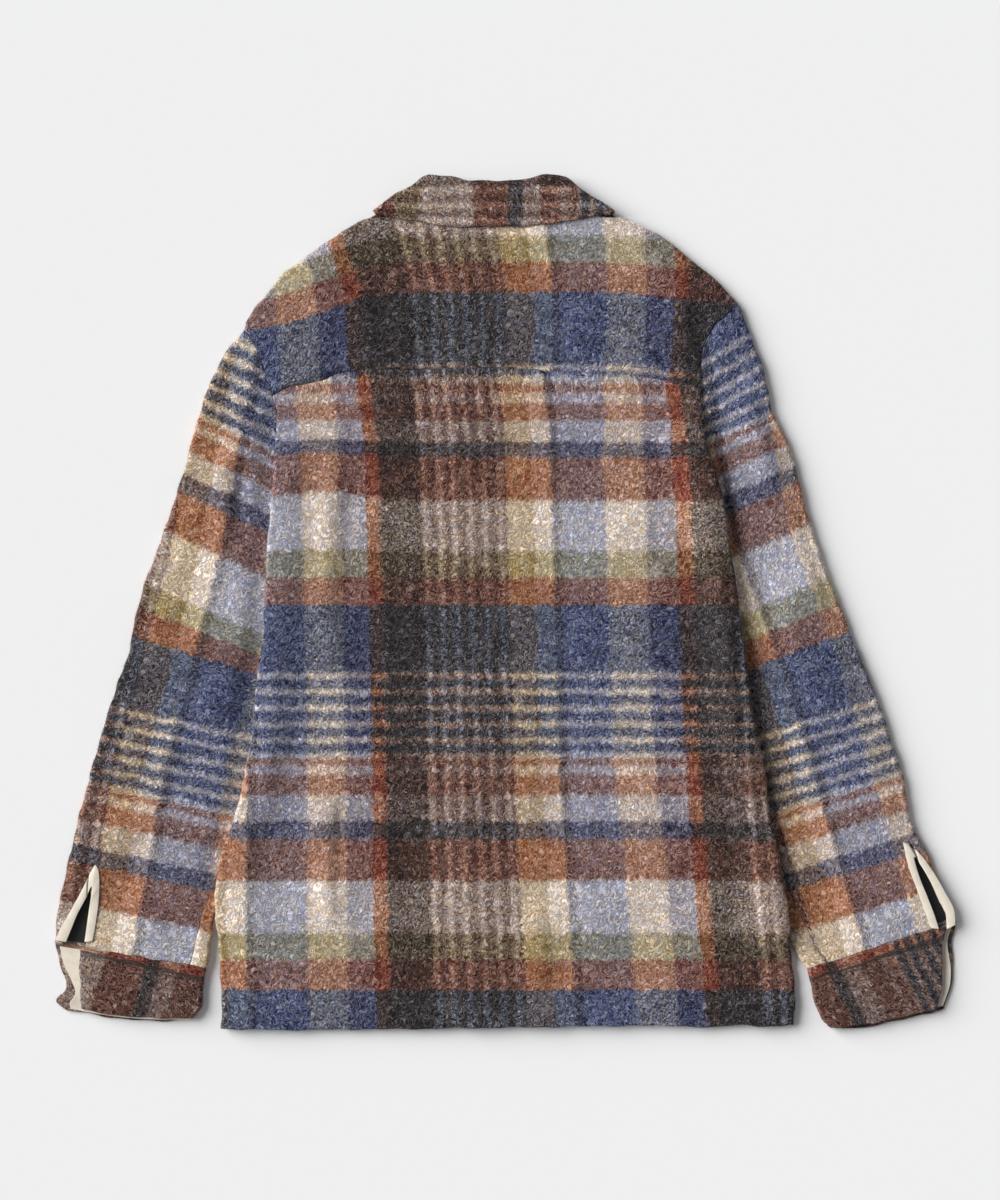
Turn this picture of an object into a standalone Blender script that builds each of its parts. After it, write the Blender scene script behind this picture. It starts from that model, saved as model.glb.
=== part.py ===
"""A brushed-wool shirt-jacket laid out flat on its front, so its back is on top.

Real size: about 815 mm across the two sleeves, 770 mm from collar fold to hem and 14 mm thick.
Frame: X is across the garment, Y runs up from the hem to the collar, Z is up from the table.
The sizes below are in millimetres and become metres where each mesh is made.
Each piece that a maker cuts and sews is one closed solid of its own.
"""
import bpy
import bmesh
import math
import numpy as np

# Centre of the whole outline, X and Y, in the tables' millimetres
ORIGIN = (-0.5, 0.2)

# Cloth and seams
WALL = 2.5          # brushed wool, nap included
TRIM_WALL = 1.0     # facing tape and slit tape
LINING_WALL = 0.8   # sleeve lining
SEAM = 0.4          # space kept between two sewn edges
LAP = 0.3           # space kept between two layers that touch
ARM_GAP = 1.0       # sleeve head from the armhole line

# Laid-out heights
BODY_TOP = 8.3      # top of the back over a single front
FOLD_R = 4.0        # outer radius of the body's folded edges
SLEEVE_TUCK = 5.6   # sleeve, two layers pressed under the body's edge
SIDE_LIFT = 5.9     # body's edge where it lies on a sleeve
NECK_LIFT = 2.8     # fronts where they lie on the collar's wings
PLACKET_LIFT = 3.1  # second front over the first
BUTTON_LIFT = 2.5   # placket over a button
RIDGE = 3.5         # back over the doubled placket
CUFF_TOP = 9.0

# Buttons, on the outer face of the placket
BUTTON_R = 9.5
BUTTON_T = 2.2
BUTTON_Y = (228.0, 108.0, -12.0, -132.0, -252.0)
PLACKET_HALF = 18.0

# Outline curves, X and Y, taken at the real size
ARMHOLE = {
    -1: ((-236.0, 247.0), (-223.0, 225.5), (-216.0, 205.0), (-210.0, 187.0), (-207.0, 170.0),
         (-206.3, 158.0), (-203.5, 145.0), (-200.8, 132.0), (-199.0, 119.0)),
    1: ((209.5, 268.5), (200.0, 260.5), (187.0, 249.0), (180.0, 236.0), (176.0, 220.0),
        (174.5, 190.5), (173.8, 164.0), (172.5, 142.0), (171.0, 119.0)),
}
BODY_SIDE = {
    -1: ((-210.0, 187.0), (-207.0, 170.0), (-206.5, 158.0), (-207.5, 146.0), (-209.5, 119.0),
         (-211.5, 92.0), (-216.0, 38.0), (-218.0, -16.0), (-220.0, -47.0), (-225.0, -69.0),
         (-228.5, -117.5), (-234.0, -147.0), (-245.0, -196.0), (-253.0, -215.5), (-259.0, -239.0),
         (-262.5, -263.0), (-260.0, -299.0), (-258.0, -330.0), (-256.5, -359.5), (-257.0, -384.0)),
    1: ((174.5, 190.5), (176.5, 162.5), (182.0, 137.0), (189.0, 119.0), (195.5, 92.0),
        (202.5, 46.5), (207.0, 15.0), (211.5, -20.0), (217.0, -59.0), (223.0, -107.5),
        (231.5, -142.0), (236.5, -186.0), (243.0, -215.5), (248.5, -244.5), (253.0, -270.5),
        (255.5, -299.0), (258.5, -330.0), (261.0, -361.5), (259.5, -378.0)),
}
SHOULDER = {
    -1: ((-236.0, 247.0), (-234.0, 253.5), (-220.5, 273.0), (-202.0, 295.5), (-173.0, 317.0),
         (-146.5, 335.0), (-131.5, 343.0), (-120.5, 346.0), (-110.0, 347.0)),
    1: ((209.5, 268.5), (194.5, 285.0), (180.0, 298.5), (165.5, 310.0), (149.5, 323.5),
        (131.5, 334.5), (113.5, 343.0), (101.0, 346.5), (88.0, 347.0)),
}
BACK_NECK = ((-110.0, 347.0), (-77.5, 348.5), (-11.5, 349.0), (53.0, 348.5), (88.0, 347.0))
FRONT_NECK = {
    -1: ((-110.0, 347.0), (-102.5, 322.0), (-84.5, 299.0), (-55.0, 286.0), (-11.5, 280.0), (7.0, 280.0)),
    1: ((88.0, 347.0), (80.5, 322.0), (62.5, 299.0), (33.0, 286.0), (-11.5, 280.0), (-30.0, 280.0)),
}
YOKE_SEAM = ((-210.0, 187.0), (-196.0, 193.5), (-171.0, 198.5), (-146.0, 207.5), (-137.0, 209.0),
             (-95.5, 210.0), (-50.5, 210.5), (-23.5, 212.0), (8.0, 211.5), (45.0, 209.0), (73.0, 208.0),
             (101.0, 206.5), (121.5, 205.0), (142.0, 202.0), (156.5, 197.5), (174.5, 190.5))
HEM = ((-257.0, -384.0), (-185.5, -385.0), (-140.5, -384.5), (-77.5, -384.0), (-23.5, -383.0),
       (48.5, -382.0), (113.5, -381.0), (149.5, -381.0), (182.0, -383.0), (210.5, -380.0),
       (236.0, -382.5), (248.0, -381.5), (259.5, -378.0))
COLLAR_FOLD = ((-112.0, 359.0), (-100.0, 367.0), (-84.0, 376.0), (-75.5, 383.0), (-68.5, 385.0),
               (-56.5, 384.5), (-30.5, 379.5), (-15.5, 380.0), (3.5, 379.5), (22.5, 382.0),
               (35.0, 385.0), (45.0, 385.5), (51.5, 384.0), (62.0, 376.5), (74.5, 367.5), (90.0, 358.5))
COLLAR_EDGE = ((-120.0, 352.5), (-109.0, 352.0), (-98.0, 348.5), (-81.0, 343.5), (-63.0, 340.0),
               (-46.0, 338.0), (-2.0, 338.0), (22.5, 339.0), (48.5, 341.5), (65.5, 345.0),
               (79.0, 350.0), (90.0, 352.5), (98.0, 352.5))
# The collar's front wings, fold line then outer edge, left side; the right one mirrors it
WING_FOLD = ((-112.0, 359.0), (-104.0, 343.0), (-97.0, 325.0), (-80.0, 304.0), (-54.0, 291.0), (-15.0, 284.5))
WING_EDGE = ((-120.0, 352.5), (-126.0, 340.0), (-128.0, 318.0), (-122.0, 290.0), (-106.0, 258.0), (-84.0, 232.0))
WING_MIRROR_X = -11.0

# Sleeve rows: outer point X, Y and inner point X, Y, shoulder to cuff
SLEEVE_ROWS = {
    -1: ((-236.0, 247.0, -199.0, 119.0), (-260.0, 213.0, -200.0, 92.0), (-275.5, 173.0, -200.5, 70.0),
         (-290.0, 120.0, -202.5, 38.0), (-305.0, 74.0, -204.5, 2.0), (-319.5, 34.5, -207.0, -34.0),
         (-331.0, -0.5, -210.5, -65.0), (-341.0, -47.0, -214.0, -98.0), (-351.0, -75.0, -217.0, -124.0),
         (-363.5, -115.0, -224.0, -160.0), (-376.0, -159.0, -234.0, -200.0), (-388.0, -205.0, -246.0, -236.0),
         (-396.0, -241.0, -256.5, -261.0), (-403.0, -272.0, -263.5, -290.0), (-407.0, -306.5, -269.0, -329.0)),
    1: ((209.5, 268.5, 171.0, 119.0), (231.5, 212.0, 174.5, 92.0), (240.5, 173.0, 182.0, 65.0),
        (254.0, 143.5, 187.0, 38.0), (264.5, 108.5, 194.5, 2.0), (273.5, 74.0, 199.0, -34.0),
        (290.0, 26.5, 206.0, -79.0), (311.5, -30.0, 213.0, -124.0), (328.5, -70.5, 220.0, -160.0),
        (352.0, -137.0, 227.5, -200.0), (360.0, -167.0, 233.0, -230.0), (366.5, -201.0, 242.0, -263.0),
        (380.0, -226.5, 252.0, -291.0), (394.0, -259.0, 261.0, -315.0), (406.0, -286.5, 272.0, -330.0)),
}
# Columns: row, middle height, slit's outer edge, slit's inner edge, seam's distance from the inner fold
SLEEVE_FORM = {
    -1: ((0.0, 8.3, 20.0, 26.0, 8.0), (4.0, 10.5, 20.0, 26.0, 8.0), (12.0, 9.8, 21.0, 26.0, 9.0),
         (13.0, 9.4, 18.5, 32.0, 12.0), (14.0, 9.0, 7.5, 29.0, 15.0)),
    1: ((0.0, 8.3, 9.0, 15.0, 10.0), (4.0, 11.5, 9.0, 15.0, 10.0), (11.3, 10.2, 9.0, 14.0, 14.0),
        (12.5, 9.6, 7.8, 18.5, 18.0), (14.0, 9.0, 7.0, 22.0, 19.0)),
}
SLIT_ROW = {-1: 12.0, 1: 11.3}
OUTER_R = 5.0
INNER_R = 3.0

# Cuff rows: outer X, Y, inner X, Y, start of the top layer
CUFF_ROWS = {
    -1: ((-407.0, -306.9, -269.0, -329.4, 24.0), (-403.5, -323.0, -272.5, -341.0, 19.0),
         (-397.0, -342.0, -273.5, -354.5, 14.0), (-394.5, -354.0, -274.5, -364.5, 11.5),
         (-396.0, -364.0, -280.0, -374.0, 13.0)),
    1: ((406.0, -286.9, 272.0, -330.4, 9.0), (402.5, -306.0, 274.0, -343.0, 9.5),
        (403.5, -327.0, 276.5, -355.0, 11.0), (401.5, -344.0, 283.0, -372.0, 9.5),
        (395.0, -363.5, 292.0, -384.0, 6.0)),
}
CUFF_SAG = {-1: 5.0, 1: -3.0}


def smooth(table_x, table_y, x):
    """Cubic through a short table that never overshoots its rows."""
    tx = np.asarray(table_x, float)
    ty = np.asarray(table_y, float)
    if tx[0] > tx[-1]:
        tx, ty = tx[::-1], ty[::-1]
    step = np.diff(tx)
    slope = np.diff(ty) / step
    m = np.zeros(len(tx))
    m[0], m[-1] = slope[0], slope[-1]
    for i in range(1, len(tx) - 1):
        if slope[i - 1] * slope[i] > 0:
            a = 2 * step[i] + step[i - 1]
            b = step[i] + 2 * step[i - 1]
            m[i] = (a + b) / (a / slope[i - 1] + b / slope[i])
    x = np.clip(np.asarray(x, float), tx[0], tx[-1])
    k = np.clip(np.searchsorted(tx, x) - 1, 0, len(step) - 1)
    t = (x - tx[k]) / step[k]
    return ((2 * t**3 - 3 * t**2 + 1) * ty[k] + (t**3 - 2 * t**2 + t) * step[k] * m[k]
            + (3 * t**2 - 2 * t**3) * ty[k + 1] + (t**3 - t**2) * step[k] * m[k + 1])


def path(points):
    """A smooth curve through points, read by its share of the length."""
    pts = np.array(points, float)
    run = np.concatenate([[0.0], np.cumsum(np.hypot(*np.diff(pts, axis=0).T))])

    def at(w):
        s = np.clip(np.asarray(w, float), 0, 1) * run[-1]
        return np.stack([smooth(run, pts[:, 0], s), smooth(run, pts[:, 1], s)], -1)
    return at


def ramp(a, b, x):
    """0 at a and 1 at b, eased."""
    t = np.clip((np.asarray(x, float) - a) / (b - a), 0, 1)
    return t * t * (3 - 2 * t)


def side_x(side, y):
    pts = np.array(BODY_SIDE[side])
    return smooth(pts[:, 1], pts[:, 0], y)


def tuck_x(side, y):
    """Inner fold of the sleeve, under the body."""
    pts = np.array(SLEEVE_ROWS[side])
    return smooth(pts[:, 3], pts[:, 2], y)


def centre_x(y):
    return -11.5 + 12.0 * ramp(280.0, -384.0, y)


def side_lift(side, y):
    """1 where the body's edge lies on a sleeve, 0 at the hem."""
    return ramp(-315.0, -283.0, y) if side < 0 else ramp(-328.0, -296.0, y)


def back_lift(side, y):
    top = ramp(165.0, 112.0, y) if side < 0 else ramp(196.0, 112.0, y)
    return side_lift(side, y) * top


def neck_zone(x, y):
    return ramp(205.0, 225.0, y) * (1 - ramp(130.0, 165.0, np.abs(x + 11.0)))


def button_zone(x, y):
    along = ramp(BUTTON_Y[-1] - 50.0, BUTTON_Y[-1] - 14.0, y)
    return along * (1 - ramp(15.0, 32.0, np.abs(x - centre_x(y))))


def front_floor(x, y):
    return np.maximum(NECK_LIFT * neck_zone(x, y), BUTTON_LIFT * button_zone(x, y))


def back_top(x, y):
    """Top of the back and yoke, without the edge folds."""
    ridge = (1 - ramp(28.0, 58.0, np.abs(x - centre_x(y)))) * (1 - ramp(292.0, 315.0, y))
    neck = ramp(300.0, 335.0, y) * (1 - ramp(130.0, 165.0, np.abs(x + 11.0)))
    z = BODY_TOP + RIDGE * ridge + NECK_LIFT * neck
    for side in (-1, 1):
        inside = side * (side_x(side, y) - x)
        z = z + SIDE_LIFT * back_lift(side, y) * (1 - ramp(12.0, 46.0, inside))
    return z


def sleeve_row(side, q):
    rows = np.array(SLEEVE_ROWS[side], float)
    n = np.arange(len(rows))
    return np.array([smooth(n, rows[:, i], q) for i in range(4)])


def sleeve_form(side, q):
    rows = np.array(SLEEVE_FORM[side], float)
    return [float(smooth(rows[:, 0], rows[:, i], q)) for i in range(1, 5)]


def sleeve_plan(side, q, d):
    """X and Y at distance d from the outer fold on sleeve row q."""
    ox, oy, ix, iy = sleeve_row(side, q)
    start, end = np.array([ox, oy]), np.array([ix, iy])
    w = d / np.hypot(*(end - start))
    arm = path(ARMHOLE[side])
    a, b = np.array(ARMHOLE[side][0]), np.array(ARMHOLE[side][-1])
    bulge = arm(w) - (a + (b - a) * w)
    run = arm(min(w + 0.01, 1.0)) - arm(max(w - 0.01, 0.0))
    out = np.array([-run[1], run[0]]) / np.hypot(*run) * side
    return (start + (end - start) * w + bulge * max(0.0, 1 - q / 5.0)**1.5
            + out * ARM_GAP * max(0.0, 1 - q / 0.35))


def sleeve_width(side, q):
    ox, oy, ix, iy = sleeve_row(side, q)
    return math.hypot(ox - ix, oy - iy)


def sleeve_top(side, q, d):
    """Height of the sleeve's top layer."""
    x, y = sleeve_plan(side, q, d)
    mid = sleeve_form(side, q)[0]
    edge = 8.3 + 0.7 * float(ramp(0, 2, q)) - 0.4 * float(ramp(12, 14, q))
    y_low = (157.0, 177.0) if side < 0 else (199.0, 216.0)
    low = SLEEVE_TUCK + (BODY_TOP - SLEEVE_TUCK) * float(ramp(y_low[0], y_low[1], y))
    low = low + (mid - low) * float(ramp(12.0, 14.0, q)) * 0.9
    outside = side * (x - float(side_x(side, min(y, BODY_SIDE[side][0][1]))))
    if y > BODY_SIDE[side][0][1]:
        outside = 10.0 * q
    z = low + (mid - low) * float(ramp(1.5, 22.0, outside))
    return edge + (z - edge) * float(ramp(OUTER_R, OUTER_R + 20.0, d))


def sleeve_point(side, q, part, v):
    """Outer and inner surface points of the sleeve's cloth at one place round its section."""
    width = sleeve_width(side, q)
    if part == "floor":
        x, y = sleeve_plan(side, q, v)
        return (x, y, 0.0), (x, y, WALL)
    if part == "top":
        x, y = sleeve_plan(side, q, v)
        z = sleeve_top(side, q, v)
        return (x, y, z), (x, y, z - WALL)
    c, s = math.cos(math.radians(v)), math.sin(math.radians(v))
    if part == "outer":
        r, centre, sign = OUTER_R, OUTER_R, -1
    else:
        r, centre, sign = INNER_R, width - INNER_R, 1
    half = sleeve_top(side, q, centre) / 2
    xo, yo = sleeve_plan(side, q, centre + sign * r * c)
    xi, yi = sleeve_plan(side, q, centre + sign * (r - WALL) * c)
    return (xo, yo, half + half * s), (xi, yi, half + (half - WALL) * s)


def solid(name, outer, inner, keep, material):
    """One closed piece of cloth from a grid of outer points and a grid of inner points."""
    outer, inner = np.asarray(outer, float), np.asarray(inner, float)
    rows, cols = outer.shape[:2]
    if keep is None:
        keep = np.ones((rows - 1, cols - 1), bool)
    bm = bmesh.new()
    made = {}

    def vert(layer, i, j):
        key = (layer, i, j)
        if key not in made:
            made[key] = bm.verts.new((outer if layer else inner)[i, j] / 1000.0)
        return made[key]

    for i in range(rows - 1):
        for j in range(cols - 1):
            if not keep[i, j]:
                continue
            bm.faces.new([vert(1, i, j), vert(1, i, j + 1), vert(1, i + 1, j + 1), vert(1, i + 1, j)])
            bm.faces.new([vert(0, i, j), vert(0, i + 1, j), vert(0, i + 1, j + 1), vert(0, i, j + 1)])
            for di, dj, ea, eb in ((-1, 0, (0, 0), (0, 1)), (1, 0, (1, 0), (1, 1)),
                                   (0, -1, (0, 0), (1, 0)), (0, 1, (0, 1), (1, 1))):
                ni, nj = i + di, j + dj
                if 0 <= ni < rows - 1 and 0 <= nj < cols - 1 and keep[ni, nj]:
                    continue
                a, b = (i + ea[0], j + ea[1]), (i + eb[0], j + eb[1])
                bm.faces.new([vert(1, *a), vert(1, *b), vert(0, *b), vert(0, *a)])
    bmesh.ops.recalc_face_normals(bm, faces=bm.faces)
    return finish(name, bm, material)


def finish(name, bm, material):
    mesh = bpy.data.meshes.new(name)
    bmesh.ops.translate(bm, verts=bm.verts, vec=(-ORIGIN[0] / 1000, -ORIGIN[1] / 1000, 0.0))
    bm.to_mesh(mesh)
    bm.free()
    obj = bpy.data.objects.new(name, mesh)
    garment.objects.link(obj)
    mesh.materials.append(material)
    for face in mesh.polygons:
        face.use_smooth = True
    mesh.set_sharp_from_angle(angle=math.radians(50.0))
    return obj


def paint(name, rgb, rough):
    mat = bpy.data.materials.new(name)
    mat.use_nodes = True
    shader = mat.node_tree.nodes["Principled BSDF"]
    shader.inputs["Base Color"].default_value = (*rgb, 1.0)
    shader.inputs["Roughness"].default_value = rough
    mat.diffuse_color = (*rgb, 1.0)
    return mat


FOLD_ANGLES = (90.0, 60.0, 30.0, 0.0)
FOLD_STEPS = tuple(FOLD_R * (1 - math.sin(math.radians(a))) for a in FOLD_ANGLES)


def column_shares(width, left, middle, right):
    first = left[-1] / width
    last = 1 - right[0] / width
    return np.concatenate([np.array(left[:-1]) / width, first + (last - first) * np.array(middle),
                           1 - np.array(right[1:]) / width])


def panel(name, rows, columns, top, bottom, height, facing, wool, fold=None, spread=2.0):
    """A flat panel between its left and right edge points, with folded sides.

    rows: left point, right point, share of the way up, left fold, right fold.
    fold: a function of column and distance for a folded top edge.
    """
    left, middle, right = columns
    outer, inner = [], []
    l0, r0 = np.array(rows[0][0]), np.array(rows[0][1])
    l1, r1 = np.array(rows[-1][0]), np.array(rows[-1][1])
    wb = column_shares(np.hypot(*(r0 - l0)), left, middle, right)
    wt = column_shares(np.hypot(*(r1 - l1)), left, middle, right)
    for lp, rp, g, fl, fr in rows:
        lp, rp = np.array(lp, float), np.array(rp, float)
        width = np.hypot(*(rp - lp))
        w = column_shares(width, left, middle, right)
        pts = lp + (rp - lp) * w[:, None]
        if bottom is not None:
            pts = pts + (bottom(wb) - (l0 + (r0 - l0) * wb[:, None])) * (1 - g)**spread
        if top is not None:
            pts = pts + (top(wt) - (l1 + (r1 - l1) * wt[:, None])) * g**spread
        out = (rp - lp) / width
        orow, irow = [], []
        for j, p in enumerate(pts):
            z = float(height(p[0], p[1]))
            tilt, way = 0.0, out
            if j < len(FOLD_ANGLES) and fl > 0:
                tilt, way, r = math.radians(FOLD_ANGLES[j]) * fl, -out, FOLD_R
                z -= facing * fl * r * (1 - math.cos(math.radians(FOLD_ANGLES[j])))
            k = len(pts) - 1 - j
            if k < len(FOLD_ANGLES) and fr > 0:
                tilt, way, r = math.radians(FOLD_ANGLES[k]) * fr, out, FOLD_R
                z -= facing * fr * r * (1 - math.cos(math.radians(FOLD_ANGLES[k])))
            orow.append((p[0], p[1], z))
            irow.append((p[0] - WALL * math.sin(tilt) * way[0], p[1] - WALL * math.sin(tilt) * way[1],
                         z - facing * WALL * math.cos(tilt)))
        outer.append(orow)
        inner.append(irow)
    if fold is not None:
        edge, inward, share = fold(wt)
        for a, step in zip(FOLD_ANGLES[2::-1], FOLD_STEPS[2::-1]):
            orow, irow = [], []
            for j in range(len(wt)):
                p = edge[j] + inward[j] * step
                rho = share[j]
                tilt = math.radians(a) * rho
                z = float(height(p[0], p[1])) - facing * rho * FOLD_R * (1 - math.cos(math.radians(a)))
                orow.append((p[0], p[1], z))
                irow.append((p[0] + WALL * math.sin(tilt) * inward[j][0],
                             p[1] + WALL * math.sin(tilt) * inward[j][1],
                             z - facing * WALL * math.cos(tilt)))
            outer.append(orow)
            inner.append(irow)
    return solid(name, outer, inner, None, wool)


def inward_ways(edge, first, last):
    """Unit directions into the cloth along an edge that runs left to right."""
    t = np.gradient(edge, axis=0)
    t /= np.hypot(t[:, 0], t[:, 1])[:, None]
    ways = np.stack([t[:, 1], -t[:, 0]], -1)
    ways[0], ways[-1] = first, last
    return ways


def unit(v):
    v = np.asarray(v, float)
    return v / np.hypot(*v)


for old in list(bpy.data.objects):
    bpy.data.objects.remove(old, do_unlink=True)
garment = bpy.data.collections.new("shacket")
bpy.context.scene.collection.children.link(garment)

plaid = {}
for piece, rgb in (("back_panel", (0.16, 0.10, 0.085)), ("back_yoke", (0.14, 0.10, 0.10)),
                   ("front_left", (0.15, 0.10, 0.085)), ("front_right", (0.15, 0.105, 0.09)),
                   ("collar_stand", (0.13, 0.09, 0.08)), ("collar_leaf", (0.17, 0.11, 0.09)),
                   ("sleeve_left_upper", (0.15, 0.11, 0.10)), ("sleeve_left_under", (0.14, 0.10, 0.09)),
                   ("sleeve_right_upper", (0.15, 0.11, 0.10)), ("sleeve_right_under", (0.14, 0.10, 0.09)),
                   ("cuff_left", (0.16, 0.105, 0.09)), ("cuff_right", (0.16, 0.105, 0.09))):
    plaid[piece] = paint("plaid_wool_" + piece, rgb, 0.95)

# Back panel: yoke seam to hem, folded at both sides
SIDE_Y = (-350.0, -318.0, -288.0, -260.0, -228.0, -190.0, -150.0, -110.0, -70.0, -30.0, 10.0,
          45.0, 75.0, 95.0, 110.0)
seam = path(YOKE_SEAM)
hem = path(HEM)
shift = np.array([0.0, SEAM / 2])
EDGE_STEPS = FOLD_STEPS + (16.0, 31.0)
back_columns = (EDGE_STEPS, np.linspace(0, 1, 13), EDGE_STEPS[::-1])


def back_fold(side, y):
    return float(ramp(150.0, 112.0, y) if side < 0 else ramp(170.0, 112.0, y))


rows = []
left_y = (-384.0,) + SIDE_Y + (119.5, 132.0, 146.0, 160.0, 174.0, 187.0)
right_y = (-378.0,) + SIDE_Y + (119.5, 133.0, 147.0, 162.0, 177.0, 190.5)
for ly, ry in zip(left_y, right_y):
    g = (ly + 384.0) / (187.0 + 384.0)
    rows.append(((float(side_x(-1, ly)), ly), (float(side_x(1, ry)), ry), g, back_fold(-1, ly), back_fold(1, ry)))
panel("back_panel", rows, back_columns, lambda w: seam(w) - shift, hem, back_top, 1, plaid["back_panel"],
      None, 4.0)

# Back yoke: from its seam to the neck, folded over both shoulders
shoulder_l, shoulder_r = path(SHOULDER[-1]), path(SHOULDER[1])
back_neck = path(BACK_NECK)
arm_l, arm_r = path(ARMHOLE[-1]), path(ARMHOLE[1])
YOKE_L, YOKE_R = 0.27, 0.30


def yoke_top(w):
    """Left shoulder, back neck, right shoulder."""
    w = np.asarray(w, float)
    pts = np.zeros((len(w), 2))
    for i, s in enumerate(w):
        if s < YOKE_L:
            pts[i] = shoulder_l(s / YOKE_L)
        elif s > 1 - YOKE_R:
            pts[i] = shoulder_r((1 - s) / YOKE_R)
        else:
            pts[i] = back_neck((s - YOKE_L) / (1 - YOKE_L - YOKE_R))
    return pts


def yoke_fold(w):
    edge = yoke_top(w)
    ways = inward_ways(edge, unit(arm_l(0.05) - arm_l(0.0)), unit(arm_r(0.05) - arm_r(0.0)))
    share = np.where((w < YOKE_L), 1 - ramp(YOKE_L - 0.05, YOKE_L, w), ramp(1 - YOKE_R, 1 - YOKE_R + 0.05, w))
    return edge, ways, share


def inset_top(w):
    edge, ways, share = yoke_fold(w)
    return edge + ways * FOLD_R


rows = []
ARM_SEAM_L, ARM_SEAM_R = 0.4712, 0.575
for g in (0.0, 0.18, 0.38, 0.60, 0.80, 1.0):
    al = ARM_SEAM_L * (1 - g) + 0.0297 * g
    ar = ARM_SEAM_R * (1 - g) + 0.0242 * g
    rows.append((tuple(arm_l(al)), tuple(arm_r(ar)), g, 0.0, 0.0))
rows[0] = ((-210.0, 187.0), (174.5, 190.5), 0.0, 0.0, 0.0)
panel("back_yoke", rows, back_columns, inset_top, lambda w: seam(w) + shift, back_top, 1,
      plaid["back_yoke"], yoke_fold, 1.0)

# Fronts: they lie on the table, and the second laps over the first at the placket
FRONT_R = 3.8


def arm_inset(arm, side, a):
    """Step from the armhole line into the body."""
    run = arm(min(a + 0.02, 1.0)) - arm(max(a - 0.02, 0.0))
    return np.array([run[1], -run[0]]) / np.hypot(*run) * side * 1.0


def front_panel(side, lapped):
    neck = path(FRONT_NECK[side])
    shoulder = path(SHOULDER[side])
    arm = path(ARMHOLE[side])
    corner = 0.50

    def top(w):
        pts = np.zeros((len(w), 2))
        for i, s in enumerate(w):
            pts[i] = shoulder(s / corner) if s < corner else neck((s - corner) / (1 - corner))
        return pts

    def height(x, y):
        z = front_floor(x, y)
        inside = side * (tuck_x(side, y) - x)
        up = side_lift(side, y) * ramp(127.0, 119.5, y)
        z = z + (SIDE_LIFT + 1.3 * ramp(110.0, 119.5, y)) * up * (1 - ramp(6.0, 20.0, inside))
        if lapped:
            z = z + PLACKET_LIFT * (1 - ramp(20.5, 40.0, side * (x - centre_x(y))))
        return z

    def fold(w):
        edge = top(w)
        ways = inward_ways(edge, unit(arm(0.05) - arm(0.0)), np.array([0.0, -1.0]))
        near = int(np.argmin(np.abs(w - corner)))
        if side > 0:
            ways[1:] = -ways[1:]
        ways[-1] = (0.0, -1.0)
        ways[near] = unit(ways[near - 1] + ways[near + 1])
        return edge, ways, 1 - ramp(corner - 0.12, corner - 0.02, w)

    def inset(w):
        edge, ways, share = fold(w)
        return edge + ways * FOLD_R

    end_x = side * PLACKET_HALF
    hem_y = -382.0
    rows = []
    table = [(float(side_x(side, y)), y, 1.0) for y in (hem_y + 1.5,) + SIDE_Y[:-1]]
    table.append((float(side_x(side, 110.0)) - side * 2.0, 110.0, 1.0))
    u = ARMHOLE[side][-1]
    table.append((u[0] - side * 2.4, 119.5, 0.0))
    for a in (0.93, 0.80, 0.66, 0.50, 0.38, 0.27, 0.17, 0.09, 0.030):
        p = arm(a) + arm_inset(arm, side, a)
        table.append((float(p[0]), float(p[1]), 0.0))
    y0, y1 = table[0][1], table[-1][1]
    for x, y, rolled in table:
        g = (y - y0) / (y1 - y0)
        ry = hem_y + g * (276.0 - hem_y)
        g_top = float(ramp(0.55, 1.0, g))**1.3
        rows.append(((x, y), (float(centre_x(ry)) - end_x, ry), g_top, rolled))
    return rows, height, fold, inset


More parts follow.
